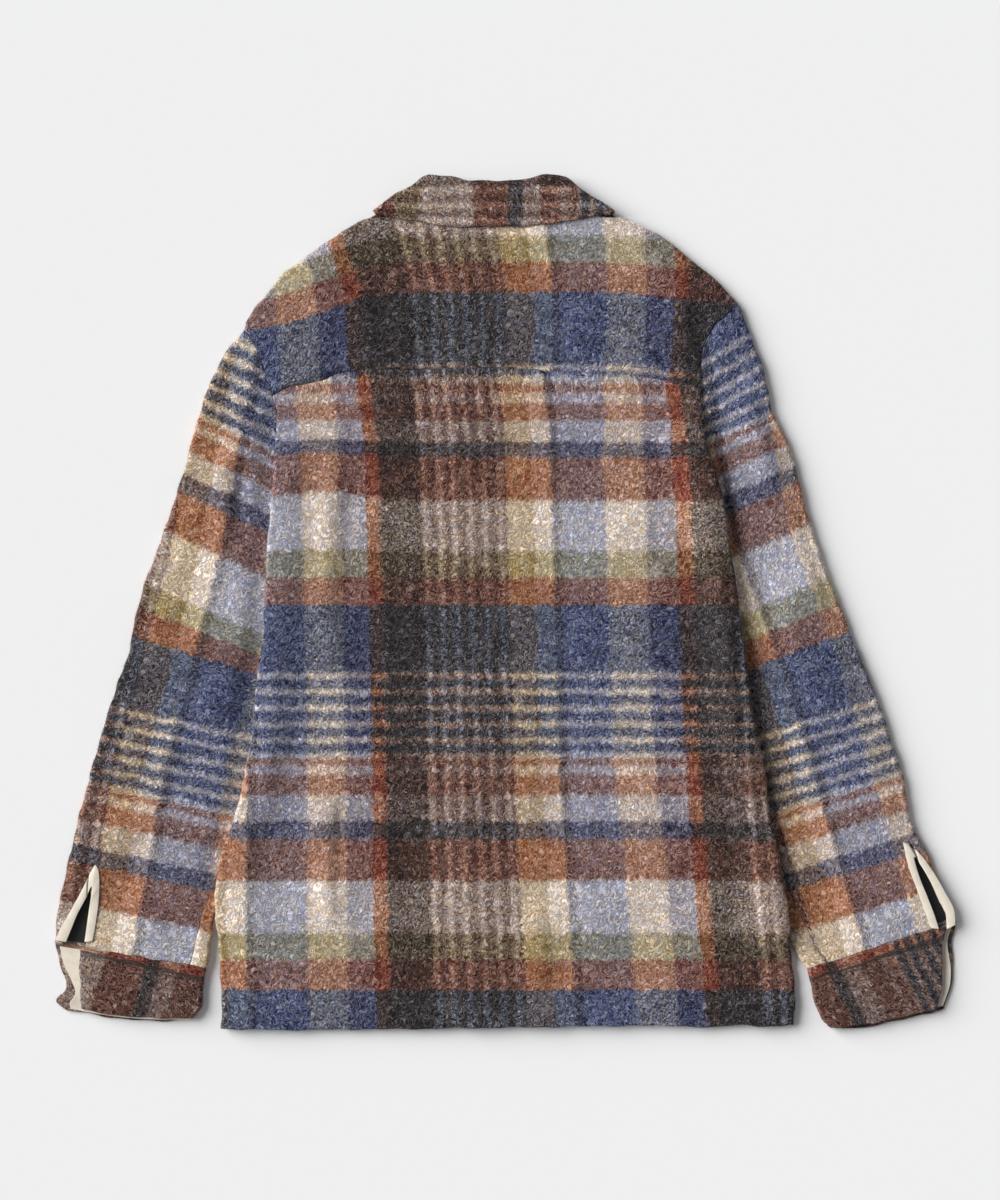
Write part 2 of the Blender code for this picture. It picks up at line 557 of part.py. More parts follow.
def front(side, name, lapped):
    rows, height, fold, inset = front_panel(side, lapped)
    middle = np.linspace(0, 1, 7)
    right = (58.0, 38.5, 18.0, 4.0, 0.0) if lapped else (44.0, 32.0, 18.0, 4.0, 0.0)
    outer, inner = [], []
    l1, r1 = np.array(rows[-1][0]), np.array(rows[-1][1])
    left = EDGE_STEPS
    wt = column_shares(np.hypot(*(r1 - l1)), left, middle, right)
    corner_at = len(left) + 3
    neck = np.array(FRONT_NECK[side])
    neck_run = np.hypot(*np.diff(neck, axis=0).T).sum()
    first_right = len(wt) - len(right)
    wt_table = np.interp(np.arange(len(wt)), (corner_at, first_right),
                         (0.5, 1 - 0.5 * right[0] / neck_run))
    wt_table[:corner_at] = wt[:corner_at] * 0.5 / wt[corner_at]
    wt_table[first_right:] = 1 - 0.5 * np.array(right) / neck_run
    target = inset(wt_table)
    chord = l1 + (r1 - l1) * wt[:, None]
    for lp, rp, g, rolled in rows:
        lp, rp = np.array(lp, float), np.array(rp, float)
        width = np.hypot(*(rp - lp))
        if lp[1] < 120.0:
            reach = max(6.0, side * float(lp[0] - tuck_x(side, lp[1])))
            left = FOLD_STEPS + (reach + 6.5, reach + 21.0)
        else:
            left = EDGE_STEPS
        w = column_shares(width, left, middle, right)
        pts = lp + (rp - lp) * w[:, None] + (target - chord) * g
        out = (rp - lp) / width
        orow, irow = [], []
        for j, p in enumerate(pts):
            z = float(height(p[0], p[1]))
            tilt = 0.0
            if j < len(FOLD_ANGLES) and rolled > 0:
                a = math.radians(FOLD_ANGLES[j])
                tilt = a * rolled
                z += rolled * FRONT_R * (1 - math.cos(a))
            orow.append((p[0], p[1], z))
            irow.append((p[0] + WALL * math.sin(tilt) * out[0], p[1] + WALL * math.sin(tilt) * out[1],
                         z + WALL * math.cos(tilt)))
        outer.append(orow)
        inner.append(irow)
    edge, ways, share = fold(wt_table)
    for a, step in zip(FOLD_ANGLES[2::-1], FOLD_STEPS[2::-1]):
        orow, irow = [], []
        for j in range(len(wt)):
            p = edge[j] + ways[j] * step
            if j == 0:
                p = p + arm_inset(path(ARMHOLE[side]), side, 0.02)
            tilt = math.radians(a) * share[j]
            z = float(height(p[0], p[1])) + share[j] * FRONT_R * (1 - math.cos(math.radians(a)))
            orow.append((p[0], p[1], z))
            irow.append((p[0] + WALL * math.sin(tilt) * ways[j][0], p[1] + WALL * math.sin(tilt) * ways[j][1],
                         z + WALL * math.cos(tilt)))
        outer.append(orow)
        inner.append(irow)
    return solid(name, outer, inner, None, plaid[name])


front(-1, "front_left", False)
front(1, "front_right", True)

# Sleeves: an upper piece round the outer fold and an under piece round the inner fold
SLEEVE_Q = {-1: (0.0, 0.35, 0.8, 1.4, 2.0, 2.8, 3.6, 4.6, 5.6, 6.8, 8.0, 9.2, 10.4, 11.3, 12.0, 12.5, 13.0, 13.5, 14.0),
            1: (0.0, 0.35, 0.8, 1.4, 2.0, 2.8, 3.6, 4.6, 5.6, 6.8, 8.0, 9.2, 10.4, 11.3, 11.9, 12.5, 13.0, 13.5, 14.0)}
FLOOR_SEAM = 0.30


def sleeve(side, tag):
    qs = SLEEVE_Q[side]
    upper_o, upper_i, under_o, under_i = [], [], [], []
    for q in qs:
        width = sleeve_width(side, q)
        mid, slit_a, slit_b, seam_e = sleeve_form(side, q)
        stop = width - max(seam_e, INNER_R + 1.0)
        first = FLOOR_SEAM * width
        places = [("floor", first), ("floor", (first + OUTER_R) / 2)]
        places += [("outer", a) for a in (-90.0, -55.0, -20.0, 15.0, 50.0, 90.0)]
        places += [("top", slit_a), ("top", slit_b)]
        places += [("top", slit_b + (stop - SEAM / 2 - slit_b) * f) for f in (0.14, 0.30, 0.46, 0.62, 0.75, 0.88, 1.0)]
        pairs = [sleeve_point(side, q, part, v) for part, v in places]
        upper_o.append([p[0] for p in pairs])
        upper_i.append([p[1] for p in pairs])
        places = [("top", stop + SEAM / 2)]
        places += [("inner", a) for a in (90.0, 45.0, 0.0, -45.0, -90.0)]
        places += [("floor", width - INNER_R - (width - INNER_R - first - SEAM) * f) for f in (0.2, 0.45, 0.72, 1.0)]
        pairs = [sleeve_point(side, q, part, v) for part, v in places]
        under_o.append([p[0] for p in pairs])
        under_i.append([p[1] for p in pairs])
    keep = np.ones((len(qs) - 1, len(upper_o[0]) - 1), bool)
    for i, q in enumerate(qs[:-1]):
        if q >= SLIT_ROW[side] - 0.01:
            keep[i, 8] = False
    solid("sleeve_%s_upper" % tag, upper_o, upper_i, keep, plaid["sleeve_%s_upper" % tag])
    solid("sleeve_%s_under" % tag, under_o, under_i, None, plaid["sleeve_%s_under" % tag])


sleeve(-1, "left")
sleeve(1, "right")

# Slit tape and the lining seen through each slit
tape = paint("cream_twill_tape", (0.80, 0.73, 0.62), 0.85)
lining_black = paint("black_satin_lining", (0.012, 0.012, 0.014), 0.45)


def slit_tape(side, name):
    q0 = SLIT_ROW[side]
    a0, b0 = sleeve_form(side, q0)[1:3]
    path_rows = []
    for q in (13.97, 13.5, 13.0, 12.5, q0 + 0.25):
        a = sleeve_form(side, q)[1]
        path_rows.append(((q, a - 3.8), (q, a + 2.4)))
    path_rows.append(((q0 - 0.17, a0 - 2.6), (q0 + 0.06, a0 + 1.4)))
    path_rows.append(((q0 - 0.17, b0 + 3.0), (q0 + 0.06, b0 - 1.4)))
    for q in (q0 + 0.25, 12.5, 13.0, 13.5, 13.97):
        b = sleeve_form(side, q)[2]
        path_rows.append(((q, b + 4.6), (q, b - 2.4)))
    outer, inner = [], []
    for far, near in path_rows:
        orow, irow = [], []
        for t in (0.0, 0.35, 0.7, 1.0):
            q = far[0] + (near[0] - far[0]) * t
            d = far[1] + (near[1] - far[1]) * t
            if d < OUTER_R:
                c = min(1.0, (OUTER_R - d) / OUTER_R)
                z = sleeve_top(side, q, OUTER_R) * (0.5 + 0.5 * math.sqrt(max(0.0, 1 - c * c)))
            else:
                z = float(sleeve_top(side, q, d))
            x, y = sleeve_plan(side, q, d)
            z += LAP + 0.15
            orow.append((x, y, z + TRIM_WALL))
            irow.append((x, y, z))
        outer.append(orow)
        inner.append(irow)
    solid(name, outer, inner, None, tape)


def lining(side, name):
    q0 = SLIT_ROW[side]
    outer, inner = [], []
    for q in (q0 - 0.35, 12.3, 13.1, 13.9):
        b = sleeve_form(side, q)[2]
        orow, irow = [], []
        for d in (OUTER_R + 1.5, 14.0, 26.0, b + 12.0):
            x, y = sleeve_plan(side, q, d)
            z = WALL + LAP
            orow.append((x, y, z + LINING_WALL))
            irow.append((x, y, z))
        outer.append(orow)
        inner.append(irow)
    solid(name, outer, inner, None, lining_black)


slit_tape(-1, "slit_binding_left")
slit_tape(1, "slit_binding_right")
lining(-1, "sleeve_lining_left")
lining(1, "sleeve_lining_right")


# Cuffs: an open band whose under end shows its cream facing
def cuff_row(side, t):
    rows = np.array(CUFF_ROWS[side], float)
    return [float(smooth(np.arange(len(rows)), rows[:, i], t)) for i in range(5)]


def cuff_plan(side, t, d):
    ox, oy, ix, iy, start = cuff_row(side, t)
    w = d / math.hypot(ox - ix, oy - iy)
    n = unit((iy - oy, ox - ix)) * side
    sag = CUFF_SAG[side] * math.sin(math.pi * min(max(w, 0), 1)) * float(ramp(1.0, 4.0, t))
    return ox + (ix - ox) * w, oy + (iy - oy) * w - abs(sag) * 0.8


def cuff(side, name, material, depth, wall, trim_start, ts):
    """One layer of the cuff, at a depth inside its outer face."""
    outer, inner = [], []
    r = 4.5
    for t in ts:
        ox, oy, ix, iy, start = cuff_row(side, min(t, 4.0))
        width = math.hypot(ox - ix, oy - iy)
        extra = max(0.0, t - 4.0)
        half = CUFF_TOP / 2
        places = []
        for d in (trim_start, 12.0, 30.0, 60.0, 90.0, width - r - 1.0):
            places.append((d, 0.0, 0.0, -1.0))
        for a in (-90.0, -45.0, 0.0, 45.0, 90.0):
            places.append((width - r, math.cos(math.radians(a)), math.sin(math.radians(a)), 0.0))
        for d in (width - r - 8.0, 100.0, 78.0, 56.0, 36.0, start + trim_start):
            places.append((d, 0.0, 0.0, 1.0))
        orow, irow = [], []
        for d, c, s, flat in places:
            pair = []
            for deep in (depth, depth + wall):
                if flat:
                    x, y = cuff_plan(side, min(t, 4.0), d)
                    z = deep if flat < 0 else CUFF_TOP - deep
                else:
                    x, y = cuff_plan(side, min(t, 4.0), d + (r - deep) * c)
                    z = half + (half - deep) * s
                pair.append((x, y - extra, z))
            orow.append(pair[0])
            irow.append(pair[1])
        outer.append(orow)
        inner.append(irow)
    solid(name, outer, inner, None, material)


cuff_rows_t = (0.0, 0.8, 1.7, 2.6, 3.4, 4.0)
for side, tag in ((-1, "left"), (1, "right")):
    cuff(side, "cuff_" + tag, plaid["cuff_" + tag], 0.0, WALL, 0.0, cuff_rows_t)
    cuff(side, "cuff_facing_" + tag, tape, WALL + LAP, TRIM_WALL, 1.5, (0.15, 0.8, 1.7, 2.6, 3.4, 4.0, 5.2))


# Collar: the leaf wraps from the back over both sides to its wings under the fronts
def collar_leaf():
    fold_back, edge_back = path(COLLAR_FOLD), path(COLLAR_EDGE)
    fold_wing, edge_wing = path(WING_FOLD), path(WING_EDGE)
    top_z, half = 13.9, 6.95

    def mirrored(p):
        return np.array([2 * WING_MIRROR_X - p[0], p[1]])

    rows = []
    for t in (1.0, 0.85, 0.7, 0.55, 0.4, 0.25, 0.12):
        rows.append((fold_wing(t), edge_wing(t), 180.0, -1))
    for a in (180.0, 135.0, 90.0, 45.0, 0.0):
        rows.append((fold_wing(0.0), edge_wing(0.0), a, -1))
    for t in np.linspace(0.0, 1.0, 20)[1:-1]:
        rows.append((fold_back(t), edge_back(t), 0.0, 0))
    for a in (0.0, 45.0, 90.0, 135.0, 180.0):
        rows.append((mirrored(fold_wing(0.0)), mirrored(edge_wing(0.0)), a, 1))
    for t in (0.12, 0.25, 0.4, 0.55, 0.7, 0.85, 1.0):
        rows.append((mirrored(fold_wing(t)), mirrored(edge_wing(t)), 180.0, 1))
    outer, inner = [], []
    for f, e, a, end in rows:
        c, s = math.cos(math.radians(a)), math.sin(math.radians(a))
        way = unit((-0.63, 0.77)) if end < 0 else unit((0.63, 0.77))
        at_turn = end != 0 and abs(e[1] - 352.5) < 0.01
        orow, irow = [], []
        for t in (0.0, 0.08, 0.3, 0.55, 0.8, 1.0):
            p = f + (e - f) * t
            if at_turn:
                po = p - way * 4.0 * (1 - s)
                pi = p - way * (4.0 - (4.0 - WALL) * s)
                orow.append((po[0], po[1], half + half * c))
                irow.append((pi[0], pi[1], half + (half - WALL) * c))
            else:
                z = top_z if a < 90 else 0.0
                orow.append((p[0], p[1], z))
                irow.append((p[0], p[1], z - WALL if a < 90 else z + WALL))
        outer.append(orow)
        inner.append(irow)
    solid("collar_leaf", outer, inner, None, plaid["collar_leaf"])


def collar_stand():
    fold_back, neck = path(COLLAR_FOLD), path(BACK_NECK)
    outer, inner = [], []
    for t in np.linspace(0.05, 0.95, 16):
        f = fold_back(t) - np.array([0.0, 1.2])
        n = neck(t) + np.array([0.0, 0.5])
        orow, irow = [], []
        for s in (0.0, 0.5, 1.0):
            p = n + (f - n) * s
            orow.append((p[0], p[1], 11.1))
            irow.append((p[0], p[1], 11.1 - WALL))
        outer.append(orow)
        inner.append(irow)
    solid("collar_stand", outer, inner, None, plaid["collar_stand"])


collar_leaf()
collar_stand()

# Front buttons: they lie under the placket on its outer face
horn = paint("brown_horn_button", (0.07, 0.035, 0.02), 0.35)
for number, by in enumerate(BUTTON_Y, 1):
    bm = bmesh.new()
    profile = ((BUTTON_R - 0.6, 0.0), (BUTTON_R, 0.6), (BUTTON_R, BUTTON_T - 0.6), (BUTTON_R - 0.6, BUTTON_T))
    rings = []
    for r, z in profile:
        ring = []
        for k in range(20):
            a = 2 * math.pi * k / 20
            ring.append(bm.verts.new(((float(centre_x(by)) + r * math.cos(a)) / 1000, (by + r * math.sin(a)) / 1000,
                                      z / 1000)))
        rings.append(ring)
    for lower, upper in zip(rings[:-1], rings[1:]):
        for k in range(20):
            bm.faces.new([lower[k], lower[(k + 1) % 20], upper[(k + 1) % 20], upper[k]])
    bm.faces.new(rings[0][::-1])
    bm.faces.new(rings[-1])
    bmesh.ops.recalc_face_normals(bm, faces=bm.faces)
    finish("front_button_%d" % number, bm, horn)

total = sum(len(p.vertices) - 2 for o in garment.objects for p in o.data.polygons)
print("triangles", total, "pieces", len(garment.objects))
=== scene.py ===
# %% [markdown]
# # A plaid wool shirt-jacket laid on its front
# A shacket is a shirt cut from coat-weight cloth. Here it lies face down on a pale table, so the
# view is of its back: yoke, back panel, two-piece sleeves with open slits, cuffs and collar.
# The CAD frame gives the size and place of every piece. This script dresses each piece as brushed
# wool plaid, because the cut of the pieces is already right and only the cloth is missing.

# %% Load the frame
import math

import bpy
import numpy as np
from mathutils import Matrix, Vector
from mathutils.bvhtree import BVHTree


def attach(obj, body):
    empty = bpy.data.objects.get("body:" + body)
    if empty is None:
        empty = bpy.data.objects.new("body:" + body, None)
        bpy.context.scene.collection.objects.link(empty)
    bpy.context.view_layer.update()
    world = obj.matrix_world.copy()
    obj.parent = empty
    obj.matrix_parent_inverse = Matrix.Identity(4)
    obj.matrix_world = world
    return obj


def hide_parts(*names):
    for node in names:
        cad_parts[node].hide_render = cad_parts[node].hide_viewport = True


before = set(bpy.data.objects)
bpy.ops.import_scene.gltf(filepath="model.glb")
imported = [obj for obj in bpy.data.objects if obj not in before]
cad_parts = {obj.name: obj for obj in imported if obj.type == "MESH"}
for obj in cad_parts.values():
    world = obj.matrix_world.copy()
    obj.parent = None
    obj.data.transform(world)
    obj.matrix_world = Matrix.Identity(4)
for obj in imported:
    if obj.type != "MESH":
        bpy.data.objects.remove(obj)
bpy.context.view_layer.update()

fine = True

# %% [markdown]
# ## Camera, light and table
# A flat lay is shot from straight above. A long lens keeps the sleeves' sides from leaning
# outwards. One large soft lamp from the upper left makes the short shadows on the right, and an
# even pale sky fills the rest, as in a light tent.

# %% Camera, lamps and floor
ORIGIN = (-0.5, 0.2)           # middle of the laid outline, in the garment's own millimetres
PHOTO_MID = (506.0, 602.5)     # the pixel where the garment's own zero lies
MM_PER_PIXEL = 0.9
FRAME_MID = (500.0, 600.0)     # middle of the photograph, in pixels
FRAME_HEIGHT = 1.08            # metres of table from the photograph's top to its bottom
LENS = 100.0
SENSOR = 36.0
KEY_FROM = (-1.0, 0.45, 0.6)    # the way to the main lamp
KEY_SOFTNESS = 50.0            # how wide that lamp looks from the table, in degrees
KEY_STRENGTH = 5.05
SKY_STRENGTH = 0.26


def linear(code):
    """An sRGB hex colour as linear RGB."""
    parts = [int(code[i:i + 2], 16) / 255 for i in (1, 3, 5)]
    return tuple(c / 12.92 if c <= 0.04045 else ((c + 0.055) / 1.055)**2.4 for c in parts)


def from_photo(px, py):
    """A pixel of the photograph in the garment's own millimetres."""
    return (px - PHOTO_MID[0]) * MM_PER_PIXEL, (PHOTO_MID[1] - py) * MM_PER_PIXEL


def to_photo(x, y):
    return x / MM_PER_PIXEL + PHOTO_MID[0], PHOTO_MID[1] - y / MM_PER_PIXEL


def in_metres(points):
    """Garment millimetres as the frame's metres."""
    return (np.asarray(points, float) - (*ORIGIN, 0.0)) / 1000.0


camera = bpy.data.objects.new("camera", bpy.data.cameras.new("camera"))
camera.data.lens = LENS
camera.data.sensor_width = SENSOR
mid_x, mid_y = from_photo(*FRAME_MID)
camera.location = (*in_metres((mid_x, mid_y, 0.0))[:2], 0.01 + FRAME_HEIGHT * LENS / SENSOR)
bpy.context.scene.collection.objects.link(camera)
bpy.context.scene.camera = camera

sun = bpy.data.lights.new("key_upper_left", "SUN")
sun.energy = KEY_STRENGTH
sun.angle = math.radians(KEY_SOFTNESS)
key = bpy.data.objects.new("key_upper_left", sun)
key.rotation_euler = Vector(KEY_FROM).to_track_quat("Z", "Y").to_euler()
bpy.context.scene.collection.objects.link(key)
world = bpy.data.worlds.new("light_tent")
world.use_nodes = True
world.node_tree.nodes["Background"].inputs["Color"].default_value = (*linear("#F4F5F8"), 1.0)
world.node_tree.nodes["Background"].inputs["Strength"].default_value = SKY_STRENGTH
bpy.context.scene.world = world
bpy.context.scene.view_settings.view_transform = "Standard"

floor_mesh = bpy.data.meshes.new("floor")
floor_corners = [(4 * x, 4 * y, -0.0002) for x, y in ((-1, -1), (1, -1), (1, 1), (-1, 1))]
floor_mesh.from_pydata(floor_corners, [], [(0, 1, 2, 3)])
floor = bpy.data.objects.new("floor", floor_mesh)
bpy.context.scene.collection.objects.link(floor)
print("camera height", round(camera.location.z, 3))

# %% [markdown]
# ## Adding shader nodes
# Every finish below is a small graph. One function adds a node, sets its options and joins its
# inputs, so that each line of a material reads as one step of making the cloth.


# %% One way to add a node
def add(tree, kind, links=None, **options):
    """A shader node with its options. An input is a value, a socket, or a node's first output."""
    node = tree.nodes.new("ShaderNode" + kind)
    for key, value in options.items():
        setattr(node, key, value)
    for key, value in (links or {}).items():
        if isinstance(value, bpy.types.Node):
            value = value.outputs[0]
        if isinstance(value, bpy.types.NodeSocket):
            tree.links.new(value, node.inputs[key])
        else:
            node.inputs[key].default_value = value
    return node


def new_finish(name):
    """An empty material, and its node tree."""
    finish = bpy.data.materials.new(name)
    finish.use_nodes = True
    finish.node_tree.nodes.clear()
    return finish, finish.node_tree


def fill_ramp(ramp, stops):
    """Colour stops as (place, colour) on a ColorRamp, in order."""
    points = ramp.color_ramp.elements
    while len(points) > 1:
        points.remove(points[-1])
    points[0].position = stops[0][0]
    points[0].color = (*stops[0][1], 1.0)
    for place, colour in stops[1:]:
        point = points.new(min(max(place, 0.0), 1.0))
        point.color = (*colour, 1.0)


# %% [markdown]
# ## The table
# The photograph's ground is plain and nearly white. Matte paper scatters light evenly, so a
# rough surface with a very faint grain is enough, and nothing on it competes with the cloth.

# %% Matte white paper
paper, tree = new_finish("matte_white_paper")
place = add(tree, "TexCoord").outputs["Object"]
grain = add(tree, "TexNoise", {"Vector": place, "Scale": 900.0, "Detail": 2.0})
paper_shade = add(tree, "MixRGB", {0: grain, 1: (*linear("#EDEDED"), 1), 2: (*linear("#F0F0F0"), 1)})
matte = add(tree, "BsdfPrincipled", {"Base Color": paper_shade, "Roughness": 0.95,
                                     "Specular IOR Level": 0.1})
add(tree, "OutputMaterial", {"Surface": matte})
floor_mesh.materials.append(paper)
print("table:", paper.name)

# %% [markdown]
# ## The plaid
# Plaid is woven, not printed: stripes of dyed warp yarn cross stripes of dyed weft yarn in a 2/2
# twill, so each spot shows about half of each, in fine slanting lines. The cloth is then brushed
# until a soft nap hides the lines and the two dyes blend. So every stripe has two colours here: a
# tone, which multiplies with the tone of the stripe it crosses to give the blended nap, and the
# yarn's own dye, which shows in single fibres. The cloth's coordinates come from a UV layer that
# counts pattern repeats.

# %% Stripes of the plaid: name, width in millimetres of cloth, tone, dye
WARP_STRIPES = (("orange", 12.6, "#7B4C2C", "#88594E"), ("charcoal", 39.0, "#2D0B0A", "#5E524A"),
                ("streaked", 82.5, "#513935", "#867A6E"), ("mustard", 26.0, "#998F78", "#D2A683"),
                ("straw", 17.7, "#BEB8AB", "#D0B198"), ("ink", 9.0, "#666872", "#8C878A"),
                ("blue", 46.3, "#7B8191", "#B7B2B8"), ("cream", 36.0, "#A39D94", "#F3DCC8"),
                ("blue", 24.3, "#7C7D86", "#96858B"))
WEFT_STRIPES = (("navy", 61.2, "#1E3045", "#5E5063"), ("striped", 77.5, "#2B3447", "#625D6F"),
                ("rust", 7.3, "#794B3F", "#956E57"), ("silver", 7.5, "#99776F", "#A49E95"),
                ("rust", 18.0, "#794A3D", "#956E57"), ("silver", 22.9, "#927671", "#BCB4AB"),
                ("navy", 16.2, "#3E3744", "#675B5C"), ("rust", 36.9, "#734538", "#A26D4F"),
                ("cream", 46.8, "#9D7F78", "#FEF8E9"), ("olive", 23.4, "#7F6652", "#A6A07E"),
                ("rust", 27.0, "#693E32", "#AE7155"))
WARP_REPEAT = sum(stripe[1] for stripe in WARP_STRIPES)
WEFT_REPEAT = sum(stripe[1] for stripe in WEFT_STRIPES)
# Pale lines in the streaked warp and the striped weft, from the repeat's start
WARP_LINES = (56.2, 70.2, 84.2, 99.2, 113.2, 128.2)
WEFT_LINES = (68.0, 82.0, 96.0, 110.0, 124.0, 137.0)
LINE_WIDTH = 8.4
LINE_TONE = {"warp": "#9A8D84", "weft": "#A3857A"}
LINE_DYE = {"warp": "#DAD2C8", "weft": "#ECD6C0"}
EDGE_BLUR = 1.8         # how far two stripes run into each other, each way
PLAIN_FROM = 9.0        # past so many repeats, where the cuffs are cut, the warp has no pale lines
CROSSING_GAIN = (5.49, 7.87, 8.93)     # two middling tones multiplied by this give a middling tone again
TWILL_PITCH = 5.4       # millimetres between twill lines: four coarse yarns


def stripe_stops(stripes, repeat, which):
    """Colour stops with a short blur where two stripes meet."""
    stops, start = [], 0.0
    for stripe in stripes:
        stops.append(((start + EDGE_BLUR) / repeat, linear(stripe[which])))
        start += stripe[1]
        stops.append(((start - EDGE_BLUR) / repeat, linear(stripe[which])))
    return stops


def line_stops(lines, repeat):
    stops = [(0.0, (0, 0, 0))]
    for middle in lines:
        stops.append(((middle - LINE_WIDTH / 2) / repeat, (0, 0, 0)))
        stops.append((middle / repeat, (1, 1, 1)))
        stops.append(((middle + LINE_WIDTH / 2) / repeat, (0, 0, 0)))
    return stops


def yarn_colours(tree, count, way, broken):
    """Tone and dye along one direction of the cloth, from its count of repeats."""
    stripes, lines = (WARP_STRIPES, WARP_LINES) if way == "warp" else (WEFT_STRIPES, WEFT_LINES)
    repeat = WARP_REPEAT if way == "warp" else WEFT_REPEAT
    turn = add(tree, "Math", {0: count}, operation="FRACT")
    fine_lines = add(tree, "ValToRGB", {"Fac": turn})
    fill_ramp(fine_lines, line_stops(lines, repeat))
    share = add(tree, "Math", {0: fine_lines, 1: broken}, operation="MULTIPLY")
    lined = add(tree, "Math", {0: count, 1: PLAIN_FROM}, operation="LESS_THAN")
    share = add(tree, "Math", {0: share, 1: lined}, operation="MULTIPLY")
    colours = []
    for which, pale in ((2, LINE_TONE[way]), (3, LINE_DYE[way])):
        bands = add(tree, "ValToRGB", {"Fac": turn})
        fill_ramp(bands, stripe_stops(stripes, repeat, which))
        colours.append(add(tree, "MixRGB", {0: share, 1: bands, 2: (*linear(pale), 1)}))
    return colours


# %% Brushed plaid wool
FLECK_SHARE = 0.30      # how much of the surface is single fibres of one dye
FLECK_SPREAD = 0.7      # how much stronger than the stripe's dye the strongest fibres are
DRAGS = ((0.10, 4.0), (0.33, 6.0), (0.8, 5.0))     # brushing drags the stripes' edges: per mm, and how far
STRANDS = ((-0.95, 1.35, 6.5), (-0.2, 1.2, 5.0))     # lie of the loose fibres: turn, width and length in mm
STRAND_CURL = (9.0, 9.0, 0.0)
STRAND_THIN, STRAND_MEAN, STRAND_GAIN = 0.09, 0.64, 2.1     # how narrow, how many and how bright
SPOTS = ((1.7, 2.4), (0.3, 0.6), (0.03, 0.5))     # grain, tufts and slow changes: per mm, and strength
# How far fibres lighten or darken: a share of the yarn, and a fixed part
FUZZ_PALE, FUZZ_DARK = 0.25, 0.055


